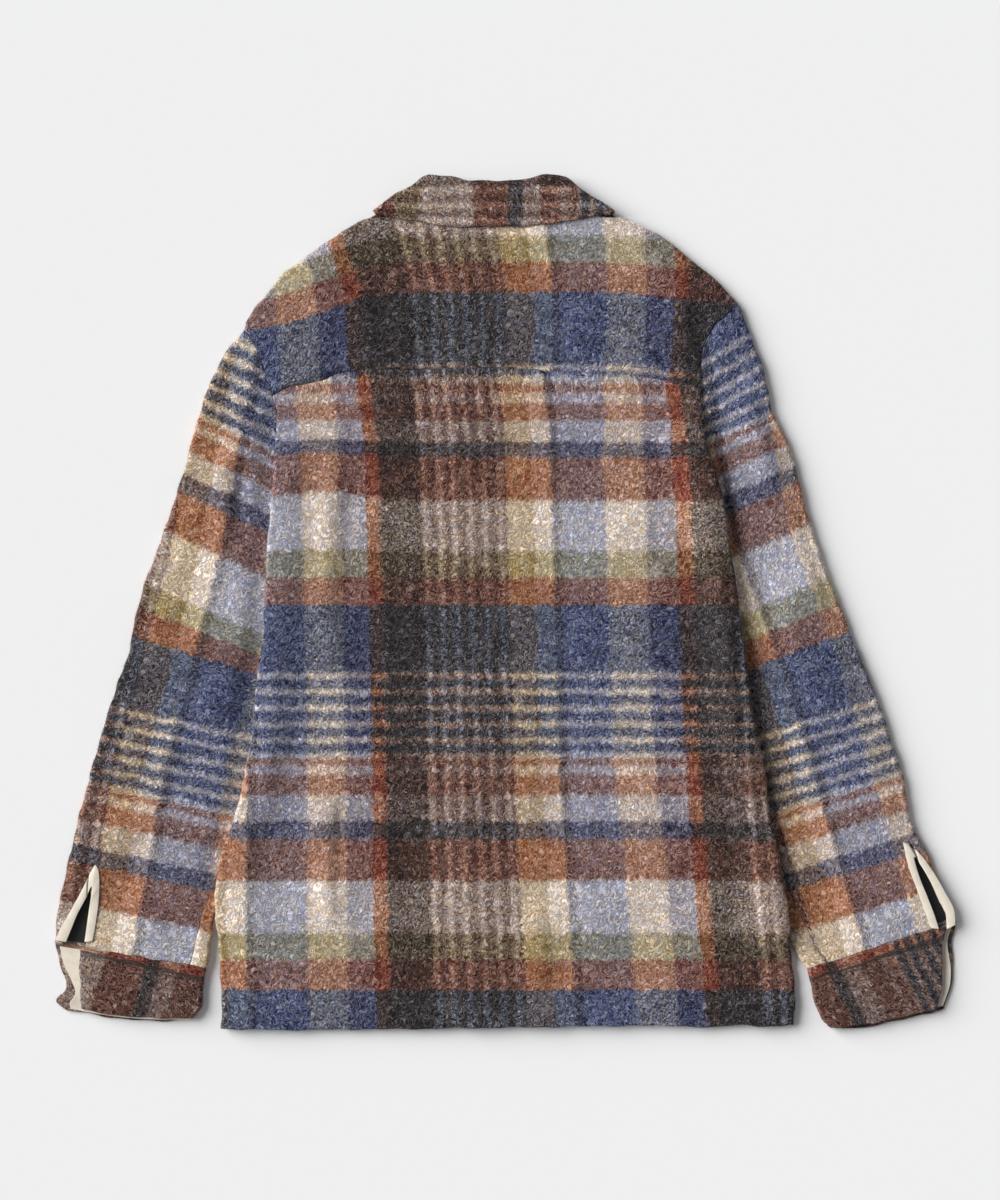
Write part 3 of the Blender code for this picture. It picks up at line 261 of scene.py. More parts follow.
def brushed_plaid(name):
    """Wool coat cloth, 2/2 twill, brushed: dull, soft edged, heathered by loose fibre."""
    finish, tree = new_finish(name)
    cloth = add(tree, "UVMap", uv_map="cloth")
    repeat = (WARP_REPEAT, WEFT_REPEAT, 1.0)
    size = add(tree, "VectorMath", {0: cloth, 1: repeat}, operation="MULTIPLY")
    moved = size
    for scale, reach in DRAGS:
        drag = add(tree, "TexNoise", {"Vector": size, "Scale": scale, "Detail": 2.0}, noise_dimensions="2D")
        drag = add(tree, "VectorMath", {0: drag.outputs["Color"], 1: (reach, reach, 0),
                                        2: (-reach / 2, -reach / 2, 0)}, operation="MULTIPLY_ADD")
        moved = add(tree, "VectorMath", {0: moved, 1: drag})
    counts = add(tree, "VectorMath", {0: moved, 1: repeat}, operation="DIVIDE")
    counts = add(tree, "SeparateXYZ", {0: counts})
    # Twill lines climb to the right
    climb = 2 * math.pi / TWILL_PITCH
    along = add(tree, "VectorMath", {0: moved, 1: (climb, climb, 0.0)}, operation="DOT_PRODUCT")
    wave = add(tree, "Math", {0: along.outputs["Value"]}, operation="SINE")
    broken_warp = add(tree, "MapRange", {"Value": wave, "From Min": -1.0, "To Min": 1.0, "To Max": 0.35})
    broken_weft = add(tree, "MapRange", {"Value": wave, "From Min": -1.0, "To Min": 0.7, "To Max": 1.0})
    warp_tone, warp_dye = yarn_colours(tree, counts.outputs["X"], "warp", broken_warp)
    weft_tone, weft_dye = yarn_colours(tree, counts.outputs["Y"], "weft", broken_weft)
    both = add(tree, "VectorMath", {0: warp_tone, 1: weft_tone}, operation="MULTIPLY")
    blended = add(tree, "VectorMath", {0: both, 1: CROSSING_GAIN}, operation="MULTIPLY")
    # Which yarn's fibres lie on top, tuft by tuft; the strongest fibres pass the stripe's own dye
    tuft = add(tree, "TexNoise", {"Vector": size, "Scale": 0.5, "Detail": 2.0, "Roughness": 0.6},
               noise_dimensions="2D").outputs["Fac"]
    lift = add(tree, "Math", {0: wave, 1: 0.05, 2: tuft}, operation="MULTIPLY_ADD")
    on_top = add(tree, "MapRange", {"Value": lift, "From Min": 0.36, "From Max": 0.64,
                                    "To Min": 0.5 - FLECK_SPREAD / 2, "To Max": 0.5 + FLECK_SPREAD / 2})
    between = add(tree, "VectorMath", {0: weft_dye, 1: warp_dye}, operation="SUBTRACT")
    fibre = add(tree, "VectorMath", {0: between, 1: on_top, 2: warp_dye}, operation="MULTIPLY_ADD")
    fibre = add(tree, "VectorMath", {0: fibre, 1: (0.01, 0.01, 0.01)}, operation="MAXIMUM")
    colour = add(tree, "MixRGB", {0: FLECK_SHARE, 1: blended, 2: fibre})
    # Loose fibres curl, and lie over each other in two ways; light ones catch the eye
    curl = add(tree, "TexNoise", {"Vector": size, "Scale": 0.16, "Detail": 1.0}, noise_dimensions="2D")
    curled = add(tree, "VectorMath", {0: curl.outputs["Color"], 1: STRAND_CURL, 2: size},
                 operation="MULTIPLY_ADD")
    pile = 0.0
    for turn, width, length in STRANDS:
        lie = add(tree, "VectorRotate", {"Vector": curled, "Angle": turn}, rotation_type="Z_AXIS")
        lie = add(tree, "VectorMath", {0: lie, 1: (1 / width, 1 / length, 1.0)}, operation="MULTIPLY")
        strand = add(tree, "TexNoise", {"Vector": lie, "Scale": 0.8, "Detail": 1.0, "Roughness": 0.5},
                     noise_dimensions="2D")
        off = add(tree, "Math", {0: strand.outputs["Fac"], 1: 0.5}, operation="SUBTRACT")
        off = add(tree, "Math", {0: off}, operation="ABSOLUTE")
        ridge = add(tree, "MapRange", {"Value": off, "From Max": STRAND_THIN, "To Min": 1.0, "To Max": 0.0})
        pile = add(tree, "Math", {0: pile, 1: ridge})
    shade = add(tree, "Math", {0: pile, 1: STRAND_GAIN, 2: -STRAND_GAIN * STRAND_MEAN},
                operation="MULTIPLY_ADD")
    for scale, amount in SPOTS:
        spot = add(tree, "TexNoise", {"Vector": size, "Scale": scale, "Detail": 1.0}, noise_dimensions="2D")
        spot = add(tree, "Math", {0: spot.outputs["Fac"], 1: 0.5}, operation="SUBTRACT")
        shade = add(tree, "Math", {0: spot, 1: amount, 2: shade}, operation="MULTIPLY_ADD")
    # Single fibres show more on dark yarn than on pale yarn
    reach = add(tree, "VectorMath", {0: colour, 1: (FUZZ_PALE,) * 3, 2: (FUZZ_DARK,) * 3},
                operation="MULTIPLY_ADD")
    colour = add(tree, "VectorMath", {0: reach, 1: shade, 2: colour}, operation="MULTIPLY_ADD")
    # Warmer and cooler patches, where a dye took unevenly
    patch = add(tree, "TexNoise", {"Vector": size, "Scale": 0.13, "Detail": 2.0}, noise_dimensions="2D")
    hue = add(tree, "VectorMath", {0: patch, 1: (0.36, 0.10, -0.40), 2: (0.82, 0.95, 1.20)},
              operation="MULTIPLY_ADD")
    colour = add(tree, "VectorMath", {0: colour, 1: hue}, operation="MULTIPLY")
    colour = add(tree, "VectorMath", {0: colour, 1: (0.008,) * 3}, operation="MAXIMUM")
    relief = add(tree, "Math", {0: wave, 1: 0.10, 2: pile}, operation="MULTIPLY_ADD")
    bump = add(tree, "Bump", {"Height": relief, "Strength": 0.8, "Distance": 0.0004})
    wool = add(tree, "BsdfPrincipled", {"Base Color": colour, "Roughness": 0.95, "Normal": bump,
                                        "Specular IOR Level": 0.15, "Sheen Weight": 0.28,
                                        "Sheen Roughness": 0.45, "Sheen Tint": (*linear("#E9E2DA"), 1)})
    add(tree, "OutputMaterial", {"Surface": wool})
    return finish


plaid = brushed_plaid("brushed_plaid_wool_twill")
print("plaid repeat", round(WARP_REPEAT, 1), "by", round(WEFT_REPEAT, 1), "mm")


# %% [markdown]
# ## Curves that follow the pattern pieces
# The pieces share their edges with the CAD solids, so the same outline points are used here. A
# cubic that never overshoots its points keeps long straight edges straight.

# %% Smooth curves through a few points
def smooth(table_x, table_y, x):
    """Cubic through a short table that never overshoots its rows."""
    tx, ty = np.asarray(table_x, float), np.asarray(table_y, float)
    if tx[0] > tx[-1]:
        tx, ty = tx[::-1], ty[::-1]
    step = np.diff(tx)
    slope = np.diff(ty) / step
    m = np.zeros(len(tx))
    m[0], m[-1] = slope[0], slope[-1]
    for i in range(1, len(tx) - 1):
        if slope[i - 1] * slope[i] > 0:
            a, b = 2 * step[i] + step[i - 1], step[i] + 2 * step[i - 1]
            m[i] = (a + b) / (a / slope[i - 1] + b / slope[i])
    x = np.clip(np.asarray(x, float), tx[0], tx[-1])
    k = np.clip(np.searchsorted(tx, x) - 1, 0, len(step) - 1)
    t = (x - tx[k]) / step[k]
    return ((2 * t**3 - 3 * t**2 + 1) * ty[k] + (t**3 - 2 * t**2 + t) * step[k] * m[k]
            + (3 * t**2 - 2 * t**3) * ty[k + 1] + (t**3 - t**2) * step[k] * m[k + 1])


def path(points):
    """A smooth curve through points, read by its share of the length."""
    pts = np.array(points, float)
    run = np.concatenate([[0.0], np.cumsum(np.hypot(*np.diff(pts, axis=0).T))])

    def at(w):
        s = np.clip(np.asarray(w, float), 0, 1) * run[-1]
        return np.stack([smooth(run, pts[:, 0], s), smooth(run, pts[:, 1], s)], -1)
    return at


def xy(points):
    """All the X and all the Y of some points."""
    return points[..., 0], points[..., 1]


def lifted(plan, z):
    """X and Y with a height, as points."""
    return np.concatenate([plan, z[..., None]], -1)


def ramp(a, b, x):
    """0 at a and 1 at b, eased."""
    t = np.clip((np.asarray(x, float) - a) / (b - a), 0, 1)
    return t * t * (3 - 2 * t)


def follow(table, value):
    """A table read in straight steps, and carried on straight past both ends."""
    tx, ty = np.array(table, float).T
    inner = np.interp(value, tx, ty)
    low = ty[0] + (value - tx[0]) * (ty[1] - ty[0]) / (tx[1] - tx[0])
    high = ty[-1] + (value - tx[-1]) * (ty[-1] - ty[-2]) / (tx[-1] - tx[-2])
    return np.where(value < tx[0], low, np.where(value > tx[-1], high, inner))


print("eased a quarter of the way:", float(ramp(0, 1, 0.25)))

# %% Walls, folds and lifts, in millimetres (-1 is left, 1 is right)
WALL, SEAM, LAP = 2.5, 0.1, 0.3     # cloth, the line between two sewn pieces, and the space under a layer
ARM_GAP = 0.3
BODY_TOP = 8.3
FOLD_R, FRONT_R = 4.0, 3.8          # side folds of the back and of the fronts
SLEEVE_TUCK = 5.6                   # height of a sleeve where it goes under the body
SIDE_LIFT = {-1: 5.9, 1: 10.2}      # the right side stands up from its sleeve
NECK_LIFT, PLACKET_LIFT, BUTTON_LIFT, RIDGE = 2.8, 3.1, 2.5, 3.5
CUFF_TOP = 9.0
OUTER_R, INNER_R = 5.0, 3.0         # folds of the sleeve tube
BUTTON_R, BUTTON_T = 9.5, 2.2
BUTTON_Y = (228.0, 108.0, -12.0, -132.0, -252.0)
PLACKET_HALF = 18.0
print("wool", WALL, "mm thick; the body lies", BODY_TOP, "mm high")

# %% Outlines of the body, in the garment's own millimetres
ARMHOLE = {
    -1: ((-236, 247), (-223, 225.5), (-216, 205), (-210, 187), (-207, 170),
         (-206.3, 158), (-203.5, 145), (-200.8, 132), (-199, 119)),
    1: ((209.5, 268.5), (200, 260.5), (187, 249), (180, 236), (176, 220),
        (174.5, 190.5), (173.8, 164), (172.5, 142), (171, 119)),
}
BODY_SIDE = {
    -1: ((-210, 187), (-207, 170), (-206.5, 158), (-207.5, 146), (-209.5, 119),
         (-211.5, 92), (-216, 38), (-218, -16), (-220, -47), (-225, -69),
         (-228.5, -117.5), (-234, -147), (-245, -196), (-253, -215.5), (-259, -239),
         (-262.5, -263), (-260, -299), (-258, -330), (-256.5, -359.5), (-257, -384)),
    1: ((174.5, 190.5), (176.5, 162.5), (182, 137), (189, 119), (195.5, 92),
        (202.5, 46.5), (207, 15), (211.5, -20), (217, -59), (223, -107.5),
        (231.5, -142), (236.5, -186), (243, -215.5), (248.5, -244.5), (253, -270.5),
        (255.5, -299), (258.5, -330), (261, -361.5), (259.5, -378)),
}
SHOULDER = {
    -1: ((-236, 247), (-234, 253.5), (-220.5, 273), (-202, 295.5), (-173, 317),
         (-146.5, 335), (-131.5, 343), (-120.5, 346), (-110, 347)),
    1: ((209.5, 268.5), (194.5, 285), (180, 298.5), (165.5, 310), (149.5, 323.5),
        (131.5, 334.5), (113.5, 343), (101, 346.5), (88, 347)),
}
BACK_NECK = ((-110, 347), (-77.5, 348.5), (-11.5, 349), (53, 348.5), (88, 347))
FRONT_NECK = {
    -1: ((-110, 347), (-102.5, 322), (-84.5, 299), (-55, 286), (-11.5, 280), (7, 280)),
    1: ((88, 347), (80.5, 322), (62.5, 299), (33, 286), (-11.5, 280), (-30, 280)),
}
YOKE_SEAM = ((-210, 187), (-196, 193.5), (-171, 198.5), (-146, 207.5), (-137, 209),
             (-95.5, 210), (-50.5, 210.5), (-23.5, 212), (8, 211.5), (45, 209), (73, 208),
             (101, 206.5), (121.5, 205), (142, 202), (156.5, 197.5), (174.5, 190.5))
HEM = ((-257, -384), (-185.5, -385), (-140.5, -384.5), (-77.5, -384), (-23.5, -383),
       (48.5, -382), (113.5, -381), (149.5, -381), (182, -383), (210.5, -380),
       (236, -382.5), (248, -381.5), (259.5, -378))
print("outlines in mm: hem", HEM[-1][0] - HEM[0][0], "yoke seam", YOKE_SEAM[-1][0] - YOKE_SEAM[0][0])

# %% Outlines of the sleeves, cuffs and collar
# Each row of a sleeve or cuff: its outer and its inner edge, then where a cuff's top end lies
SLEEVE_ROWS = {
    -1: ((-236, 247, -199, 119), (-260, 213, -200, 92), (-275.5, 173, -200.5, 70),
         (-290, 120, -202.5, 38), (-305, 74, -204.5, 2), (-319.5, 34.5, -207, -34),
         (-331, -0.5, -210.5, -65), (-341, -47, -214, -98), (-351, -75, -217, -124),
         (-363.5, -115, -224, -160), (-376, -159, -234, -200), (-388, -205, -246, -236),
         (-396, -241, -256.5, -261), (-403, -272, -263.5, -290), (-407, -306.5, -269, -329)),
    1: ((209.5, 268.5, 171, 119), (231.5, 212, 174.5, 92), (240.5, 173, 182, 65),
        (254, 143.5, 187, 38), (264.5, 108.5, 194.5, 2), (273.5, 74, 199, -34),
        (290, 26.5, 206, -79), (311.5, -30, 213, -124), (328.5, -70.5, 220, -160),
        (352, -137, 227.5, -200), (360, -167, 233, -230), (366.5, -201, 242, -263),
        (380, -226.5, 252, -291), (394, -259, 261, -315), (406, -286.5, 272, -330)),
}
# Columns: row, middle height, slit's outer edge, slit's inner edge, seam's distance from the inner fold
SLEEVE_FORM = {
    -1: ((0, 8.3, 20, 26, 8), (4, 10.5, 20, 26, 8), (12, 9.8, 21, 26, 9),
         (13, 9.4, 18.5, 32, 12), (14, 9, 7.5, 29, 15)),
    1: ((0, 8.3, 9, 15, 10), (4, 11.5, 9, 15, 10), (11.3, 10.2, 9, 14, 14),
        (12.5, 9.6, 7.8, 18.5, 18), (14, 9, 7, 22, 19)),
}
SLIT_ROW = {-1: 12.0, 1: 11.3}     # the sleeve row where each slit ends
CUFF_ROWS = {
    -1: ((-407, -306.9, -269, -329.4, 24), (-403.5, -323, -272.5, -341, 19),
         (-397, -342, -273.5, -354.5, 14), (-394.5, -354, -274.5, -364.5, 11.5),
         (-396, -364, -280, -374, 13)),
    1: ((406, -286.9, 272, -330.4, 9), (402.5, -306, 274, -343, 9.5),
        (403.5, -327, 276.5, -355, 11), (401.5, -344, 283, -372, 9.5),
        (395, -363.5, 292, -384, 6)),
}
CUFF_SAG = {-1: 5.0, 1: -3.0}      # how far the cuffs' lower edges bow
COLLAR_FOLD = ((-112, 359), (-100, 367), (-84, 376), (-75.5, 383), (-68.5, 385),
               (-56.5, 384.5), (-30.5, 379.5), (-15.5, 380), (3.5, 379.5), (22.5, 382),
               (35, 385), (45, 385.5), (51.5, 384), (62, 376.5), (74.5, 367.5), (90, 358.5))
COLLAR_EDGE = ((-120, 350), (-109, 348), (-98, 346), (-81, 343.5), (-63, 340),
               (-46, 338), (-2, 338), (22.5, 339), (48.5, 341.5), (65.5, 345),
               (79, 347.5), (90, 348.5), (98, 350))
WING_FOLD = ((-112, 359), (-104, 343), (-97, 325), (-80, 304), (-54, 291), (-15, 284.5))
WING_EDGE = ((-120, 352.5), (-126, 340), (-128, 318), (-122, 290), (-106, 258), (-84, 232))
WING_MIRROR_X = -11.0
print("rows: sleeve", len(SLEEVE_ROWS[1]), "cuff", len(CUFF_ROWS[1]))


# %% [markdown]
# ## Where the pattern falls
# A cutter lays each pattern piece on the cloth, so each piece meets the plaid in its own place.
# The orange stripes and the bands were found on the photograph, and these tables say how far
# through a repeat each of them is. A piece's UV is then worked out from where it lies.

# %% Cloth coordinates of each piece
PHOTO_WARP, PHOTO_WEFT = 326.0, 383.0     # one repeat, in pixels of the photograph
HALF_ORANGE = 7.0
BODY_STRIPE_1 = ((380, 363), (446, 371), (586, 375), (750, 379), (900, 380), (1020, 384))
BODY_STRIPE_2 = ((402, 675), (443, 682), (494, 686), (555, 688), (700, 692), (900, 703), (965, 710),
                 (1021, 714))
BODY_BANDS = ((382, 154), (393, 162), (403, 170), (420, 190), (442, 216), (457, 234), (501, 275), (551, 327),
              (578, 353), (605, 383), (672, 455), (802, 580), (990, 766))
# How many pixels further left the middle stripes lie, column by column, and the rows where that
# comes in and where it mostly goes
BODY_DRIFT = ((380, 470, 520, 555, 605, 650, 690), (0, 2, 3, 4, 10, 8, 2))
DRIFT_IN, DRIFT_OUT, DRIFT_LOST = (400, 460), (780, 880), 0.8
BAND_RISE, RISE_AT, RISE_SPREAD = 9.0, (325, 490), (50, 45)     # the bands climb over the left ridge
YOKE_DRIFT = ((340, 390, 450, 540, 590, 640), (0, -8, -11, -9, 0, 3))
YOKE_START = 91.0                                    # pixels through a repeat at the photograph's top edge
YOKE_DROOP = ((37.0, 400, 250), (10.0, 600, 730))    # how far the bands fall towards each shoulder
YOKE_STRIPE_1 = ((262, 342), (290, 350), (344, 353))
YOKE_STRIPE_2 = ((230, 684), (274, 686), (370, 680))
EDGE_BANDS = {
    -1: ((333, 68), (413, 150), (447, 186), (473, 216), (490, 234), (530, 275), (583, 327), (607, 353),
         (943, 703)),
    1: ((304, 45), (410, 150), (473, 225), (603, 353), (921, 694)),
}
# How steeply the bands cross each sleeve at its top, and by how much less between two rows
BAND_SLOPE = {-1: (0.466, ((0.25, 560, 690),)), 1: (0.62, ((0.17, 330, 420), (0.14, 560, 700)))}
BLUE_LINE = {
    -1: ((425, 247), (560, 223), (650, 200), (700, 187), (750, 173), (800, 163), (840, 157), (917, 143)),
    1: ((450, 721), (530, 735), (590, 757), (640, 776), (730, 805), (830, 833), (920, 860)),
}
BLUE_STARTS, BLUE_STRETCH = 202.0, {-1: 0.97, 1: 1.05}


def body_cloth(x, y):
    px, py = to_photo(x, y)
    first, second = follow(BODY_STRIPE_1, py), follow(BODY_STRIPE_2, py)
    drift = np.interp(px, *BODY_DRIFT) * ramp(*DRIFT_IN, py) * (1 - DRIFT_LOST * ramp(*DRIFT_OUT, py))
    u = (px + drift - first) / (second - first) + HALF_ORANGE / PHOTO_WARP
    (rise_x, rise_y), (wide, tall) = RISE_AT, RISE_SPREAD
    rise = BAND_RISE * np.exp(-((px - rise_x) / wide)**2 - ((py - rise_y) / tall)**2)
    return np.stack([u, follow(BODY_BANDS, py + rise) / PHOTO_WEFT], -1)


def yoke_cloth(x, y):
    px, py = to_photo(x, y)
    first, second = follow(YOKE_STRIPE_1, py), follow(YOKE_STRIPE_2, py)
    u = (px + np.interp(px, *YOKE_DRIFT) - first) / (second - first) + HALF_ORANGE / PHOTO_WARP
    droop = sum(fall * ramp(start, stop, px) for fall, start, stop in YOKE_DROOP)
    return np.stack([u, (py + YOKE_START - droop) / PHOTO_WEFT], -1)


def sleeve_cloth(side, x, y):
    """Bands run square to the sleeve, so they are read where they meet the outer edge."""
    px, py = to_photo(x, y)
    edge = np.array(SLEEVE_ROWS[side])[:, :2]
    edge_x, edge_y = to_photo(*xy(edge))
    at = py
    steepest, changes = BAND_SLOPE[side]
    for _ in range(6):     # each pass comes closer to the row where the band meets the edge
        slope = steepest
        for less, start, stop in changes:
            slope = slope - less * ramp(start, stop, at)
        at = py + side * slope * (px - follow(np.stack([edge_y, edge_x], -1), at))
    u = BLUE_STARTS + (px - follow(BLUE_LINE[side], py)) * BLUE_STRETCH[side]
    return np.stack([u / PHOTO_WARP, follow(EDGE_BANDS[side], at) / PHOTO_WEFT], -1)


print("hem's middle is", np.round(body_cloth(0.0, -380.0), 2), "repeats into the cloth")


# %% [markdown]
# ## Sewing one piece of cloth
# Thick wool never ends in a sharp corner: its two faces close softly at each cut edge. Each piece
# is a grid of points on its outer face and a grid on its inner face. The faces are drawn together
# over the last two millimetres and joined by a narrow rim, so the piece is one closed cloth wall.

# %% From two grids of points to one closed piece
EDGE_ROUND = 2.2     # how far in from an edge the wall starts to thin
EDGE_CLOSE = 0.42    # share of the wall that has closed at the very edge
wool_pieces = {}
print("edges close over", EDGE_ROUND, "mm")


def edge_closing(outer):
    """0 inside the piece, rising over the last millimetres to each of its four edges."""
    close = np.zeros(outer.shape[:2])
    for axis in (0, 1):
        step = np.linalg.norm(np.diff(outer, axis=axis), axis=-1)
        zero = np.zeros_like(np.take(step, [0], axis=axis))
        run = np.concatenate([zero, np.cumsum(step, axis=axis)], axis=axis)
        total = np.take(run, [-1], axis=axis)
        near = np.clip(np.minimum(run, total - run) / EDGE_ROUND, 0, 1)
        close = np.maximum(close, 1 - np.sqrt(1 - (1 - near)**2))
    return close * EDGE_CLOSE


def grid_faces(keep):
    """Faces of a closed wall over the kept cells of a grid."""
    rows, cols = keep.shape[0] + 1, keep.shape[1] + 1
    number = np.arange(rows * cols).reshape(rows, cols)
    count = rows * cols
    a, b, c, d = number[:-1, :-1], number[:-1, 1:], number[1:, 1:], number[1:, :-1]
    faces = [np.stack([a, b, c, d], -1)[keep]]
    faces.append(np.stack([a, d, c, b], -1)[keep] + count)
    padded = np.pad(keep, 1)
    for (di, dj), (p, q) in (((-1, 0), (a, b)), ((1, 0), (c, d)), ((0, -1), (d, a)), ((0, 1), (b, c))):
        beyond = padded[1 + di:padded.shape[0] - 1 + di, 1 + dj:padded.shape[1] - 1 + dj]
        open_edge = keep & ~beyond
        faces.append(np.stack([q, p, p + count, q + count], -1)[open_edge])
    return np.concatenate(faces)


def place_mesh(name, mesh, finish):
    """An object for a mesh, smooth shaded and of one material."""
    mesh.polygons.foreach_set("use_smooth", np.ones(len(mesh.polygons), bool))
    mesh.materials.append(finish)
    obj = bpy.data.objects.new(name, mesh)
    bpy.context.scene.collection.objects.link(obj)
    return obj


def make_mesh(name, points, faces, finish, cloth=None):
    """A smooth shaded object from points in garment millimetres."""
    used, faces = np.unique(faces, return_inverse=True)
    faces = faces.reshape(-1, 4)
    points = in_metres(points[used])
    centre = points[faces].mean(1)
    normal = np.cross(points[faces[:, 2]] - points[faces[:, 0]], points[faces[:, 3]] - points[faces[:, 1]])
    if (centre * normal).sum() < 0:
        faces = faces[:, ::-1]
    mesh = bpy.data.meshes.new(name)
    mesh.vertices.add(len(points))
    mesh.vertices.foreach_set("co", points.ravel())
    mesh.loops.add(faces.size)
    mesh.loops.foreach_set("vertex_index", faces.ravel())
    mesh.polygons.add(len(faces))
    mesh.polygons.foreach_set("loop_start", np.arange(0, faces.size, 4))
    mesh.update(calc_edges=True)
    if cloth is not None:
        layer = mesh.uv_layers.new(name="cloth")
        layer.data.foreach_set("uv", cloth[used][faces.ravel()].ravel())
    return place_mesh(name, mesh, finish)


def wander(points):
    """Moves points sideways by up to a millimetre, as no cut edge of brushed wool is straight."""
    x, y = xy(points)
    out = points.copy()
    out[..., 0] += 0.40 * np.sin(y / 3.7 + 1.3 * np.sin(x / 6.1)) + 0.35 * np.sin(y / 8.3 + x / 11.0)
    out[..., 1] += 0.40 * np.sin(x / 4.1 + 1.3 * np.sin(y / 5.3)) + 0.35 * np.sin(x / 9.1 - y / 12.0)
    return out


def sew(name, outer, inner, cloth, nodes, finish=None, keep=None, soft=True):
    """One cut piece of cloth, standing for its CAD solid."""
    if keep is None:
        keep = np.ones((outer.shape[0] - 1, outer.shape[1] - 1), bool)
    if soft:
        close = edge_closing(outer)[..., None] / 2
        outer, inner = wander(outer + (inner - outer) * close), wander(inner + (outer - inner) * close)
    points = np.concatenate([outer.reshape(-1, 3), inner.reshape(-1, 3)])
    uv = np.concatenate([cloth.reshape(-1, 2), cloth.reshape(-1, 2)])
    obj = make_mesh(name, points, grid_faces(keep), finish or plaid, uv)
    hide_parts(*nodes)
    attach(obj, "root")
    half_area = sum(p.area for p in obj.data.polygons) / 2
    print(name, "triangles", 2 * len(obj.data.polygons), "cloth %.4f m2" % half_area)
    wool_pieces[name] = obj
    return obj


# %% [markdown]
# ## Creases
# A laid garment keeps a few soft folds: a ridge where it was lifted, a trough beside a shoulder,
# a valley where a sleeve goes under the body. Each is placed as a stroke with its own width and
# height, and low uneven swells between them keep the cloth from looking pressed.

# %% Strokes and swells
# Each stroke: pixels of the photograph along it, half width in mm, height in mm
BACK_STROKES = (
    (((336, 392), (331, 450), (329, 520), (326, 600), (333, 680)), 15.0, 2.6),
    (((349, 480), (345, 560), (346, 640)), 9.0, -1.3),
    (((332, 760), (328, 830), (330, 905), (326, 960)), 13.0, 2.4),
    (((341, 800), (338, 860), (340, 925)), 5.0, -1.5),
    (((697, 372), (703, 398), (706, 430), (716, 470)), 13.0, 2.2),
    (((700, 420), (712, 480), (722, 540), (732, 640), (742, 740), (756, 860)), 15.0, 3.6),
    (((684, 380), (688, 420), (694, 470)), 9.0, -1.7),
    (((420, 430), (500, 455), (590, 447)), 30.0, 0.9),
    (((560, 620), (640, 600), (705, 560)), 34.0, 1.2),
    (((440, 700), (470, 780), (455, 860)), 30.0, 1.1),
    (((600, 760), (640, 850), (660, 940)), 32.0, 1.1),
    (((520, 900), (540, 950), (536, 1005)), 17.0, 1.3),
    (((260, 640), (272, 720), (262, 800)), 15.0, 1.3),
    (((250, 850), (262, 920), (250, 990)), 13.0, 1.4),
    (((730, 640), (722, 720), (735, 800)), 14.0, 1.2),
    (((765, 860), (755, 930), (762, 985)), 14.0, 1.3),
    (((400, 985), (420, 1010)), 15.0, 1.0), (((300, 975), (296, 1015)), 14.0, 1.1),
    (((650, 975), (655, 1012)), 15.0, 1.1),
)
YOKE_STROKES = (
    (((694, 292), (699, 320), (704, 350), (708, 372)), 9.0, -4.2),
    (((712, 290), (715, 320), (717, 350)), 8.0, 1.2),
    (((681, 285), (686, 320), (692, 360)), 11.0, 2.4),
    (((320, 262), (330, 300), (322, 345)), 19.0, 1.2),
    (((420, 240), (500, 250), (580, 241)), 18.0, 1.0),
    (((268, 315), (285, 340), (290, 368)), 12.0, 1.2),
)
SLEEVE_STROKES = {
    -1: (
        (((247, 455), (240, 490), (243, 525), (252, 556)), 10.0, -1.6),
        (((228, 440), (222, 500), (226, 560)), 13.0, 1.7),
        (((180, 500), (205, 540), (222, 600)), 17.0, 1.3),
        (((150, 600), (185, 640), (215, 650)), 17.0, 1.5),
        (((135, 680), (165, 690), (200, 720)), 14.0, -1.2),
        (((115, 760), (150, 745), (190, 770)), 16.0, 1.5),
        (((100, 830), (140, 825), (185, 850)), 12.0, 1.3),
        (((140, 870), (150, 910), (145, 935)), 12.0, 1.0),
    ),
    1: (
        (((752, 380), (762, 440), (765, 505)), 15.0, 3.0),
        (((708, 392), (717, 440), (726, 500), (734, 560)), 9.0, -2.0),
        (((757, 560), (765, 620), (785, 680)), 12.0, -1.6),
        (((775, 560), (787, 620), (806, 680)), 14.0, 1.7),
        (((790, 500), (808, 560), (822, 610)), 16.0, 1.1),
        (((800, 720), (840, 700), (868, 712)), 15.0, 1.4),
        (((812, 790), (850, 770), (885, 790)), 13.0, 1.3),
        (((838, 850), (855, 890), (862, 925)), 14.0, 1.2),
    ),
}


# %% From strokes and swells to heights
CREASE_GAIN = 1.5      # the strokes as drawn look pressed; this is how full the cloth lies
SWELL_GAIN = 1.6
SWELLS = ((150, 1.0), (95, 0.8), (70, 0.6), (48, 0.4), (33, 0.22), (21, 0.12))     # length and height


def crease_height(x, y, strokes):
    """Sum of the strokes' soft profiles, each dying away at its two ends."""
    total = np.zeros_like(x)
    for pixels, half_width, height in strokes:
        line = path([from_photo(*p) for p in pixels])(np.linspace(0, 1, 25))
        best, place = np.full(x.shape, 1e9), np.zeros_like(x)
        for k in range(24):
            a, way = line[k], line[k + 1] - line[k]
            t = np.clip(((x - a[0]) * way[0] + (y - a[1]) * way[1]) / (way @ way), 0, 1)
            away = np.hypot(x - a[0] - way[0] * t, y - a[1] - way[1] * t)
            place = np.where(away < best, (k + t) / 24, place)
            best = np.minimum(best, away)
        ends = ramp(0.0, 0.3, place) * ramp(1.0, 0.7, place) * 0.8 + 0.2
        total = total + height * ends * np.exp(-(best / half_width)**2)
    return total * CREASE_GAIN


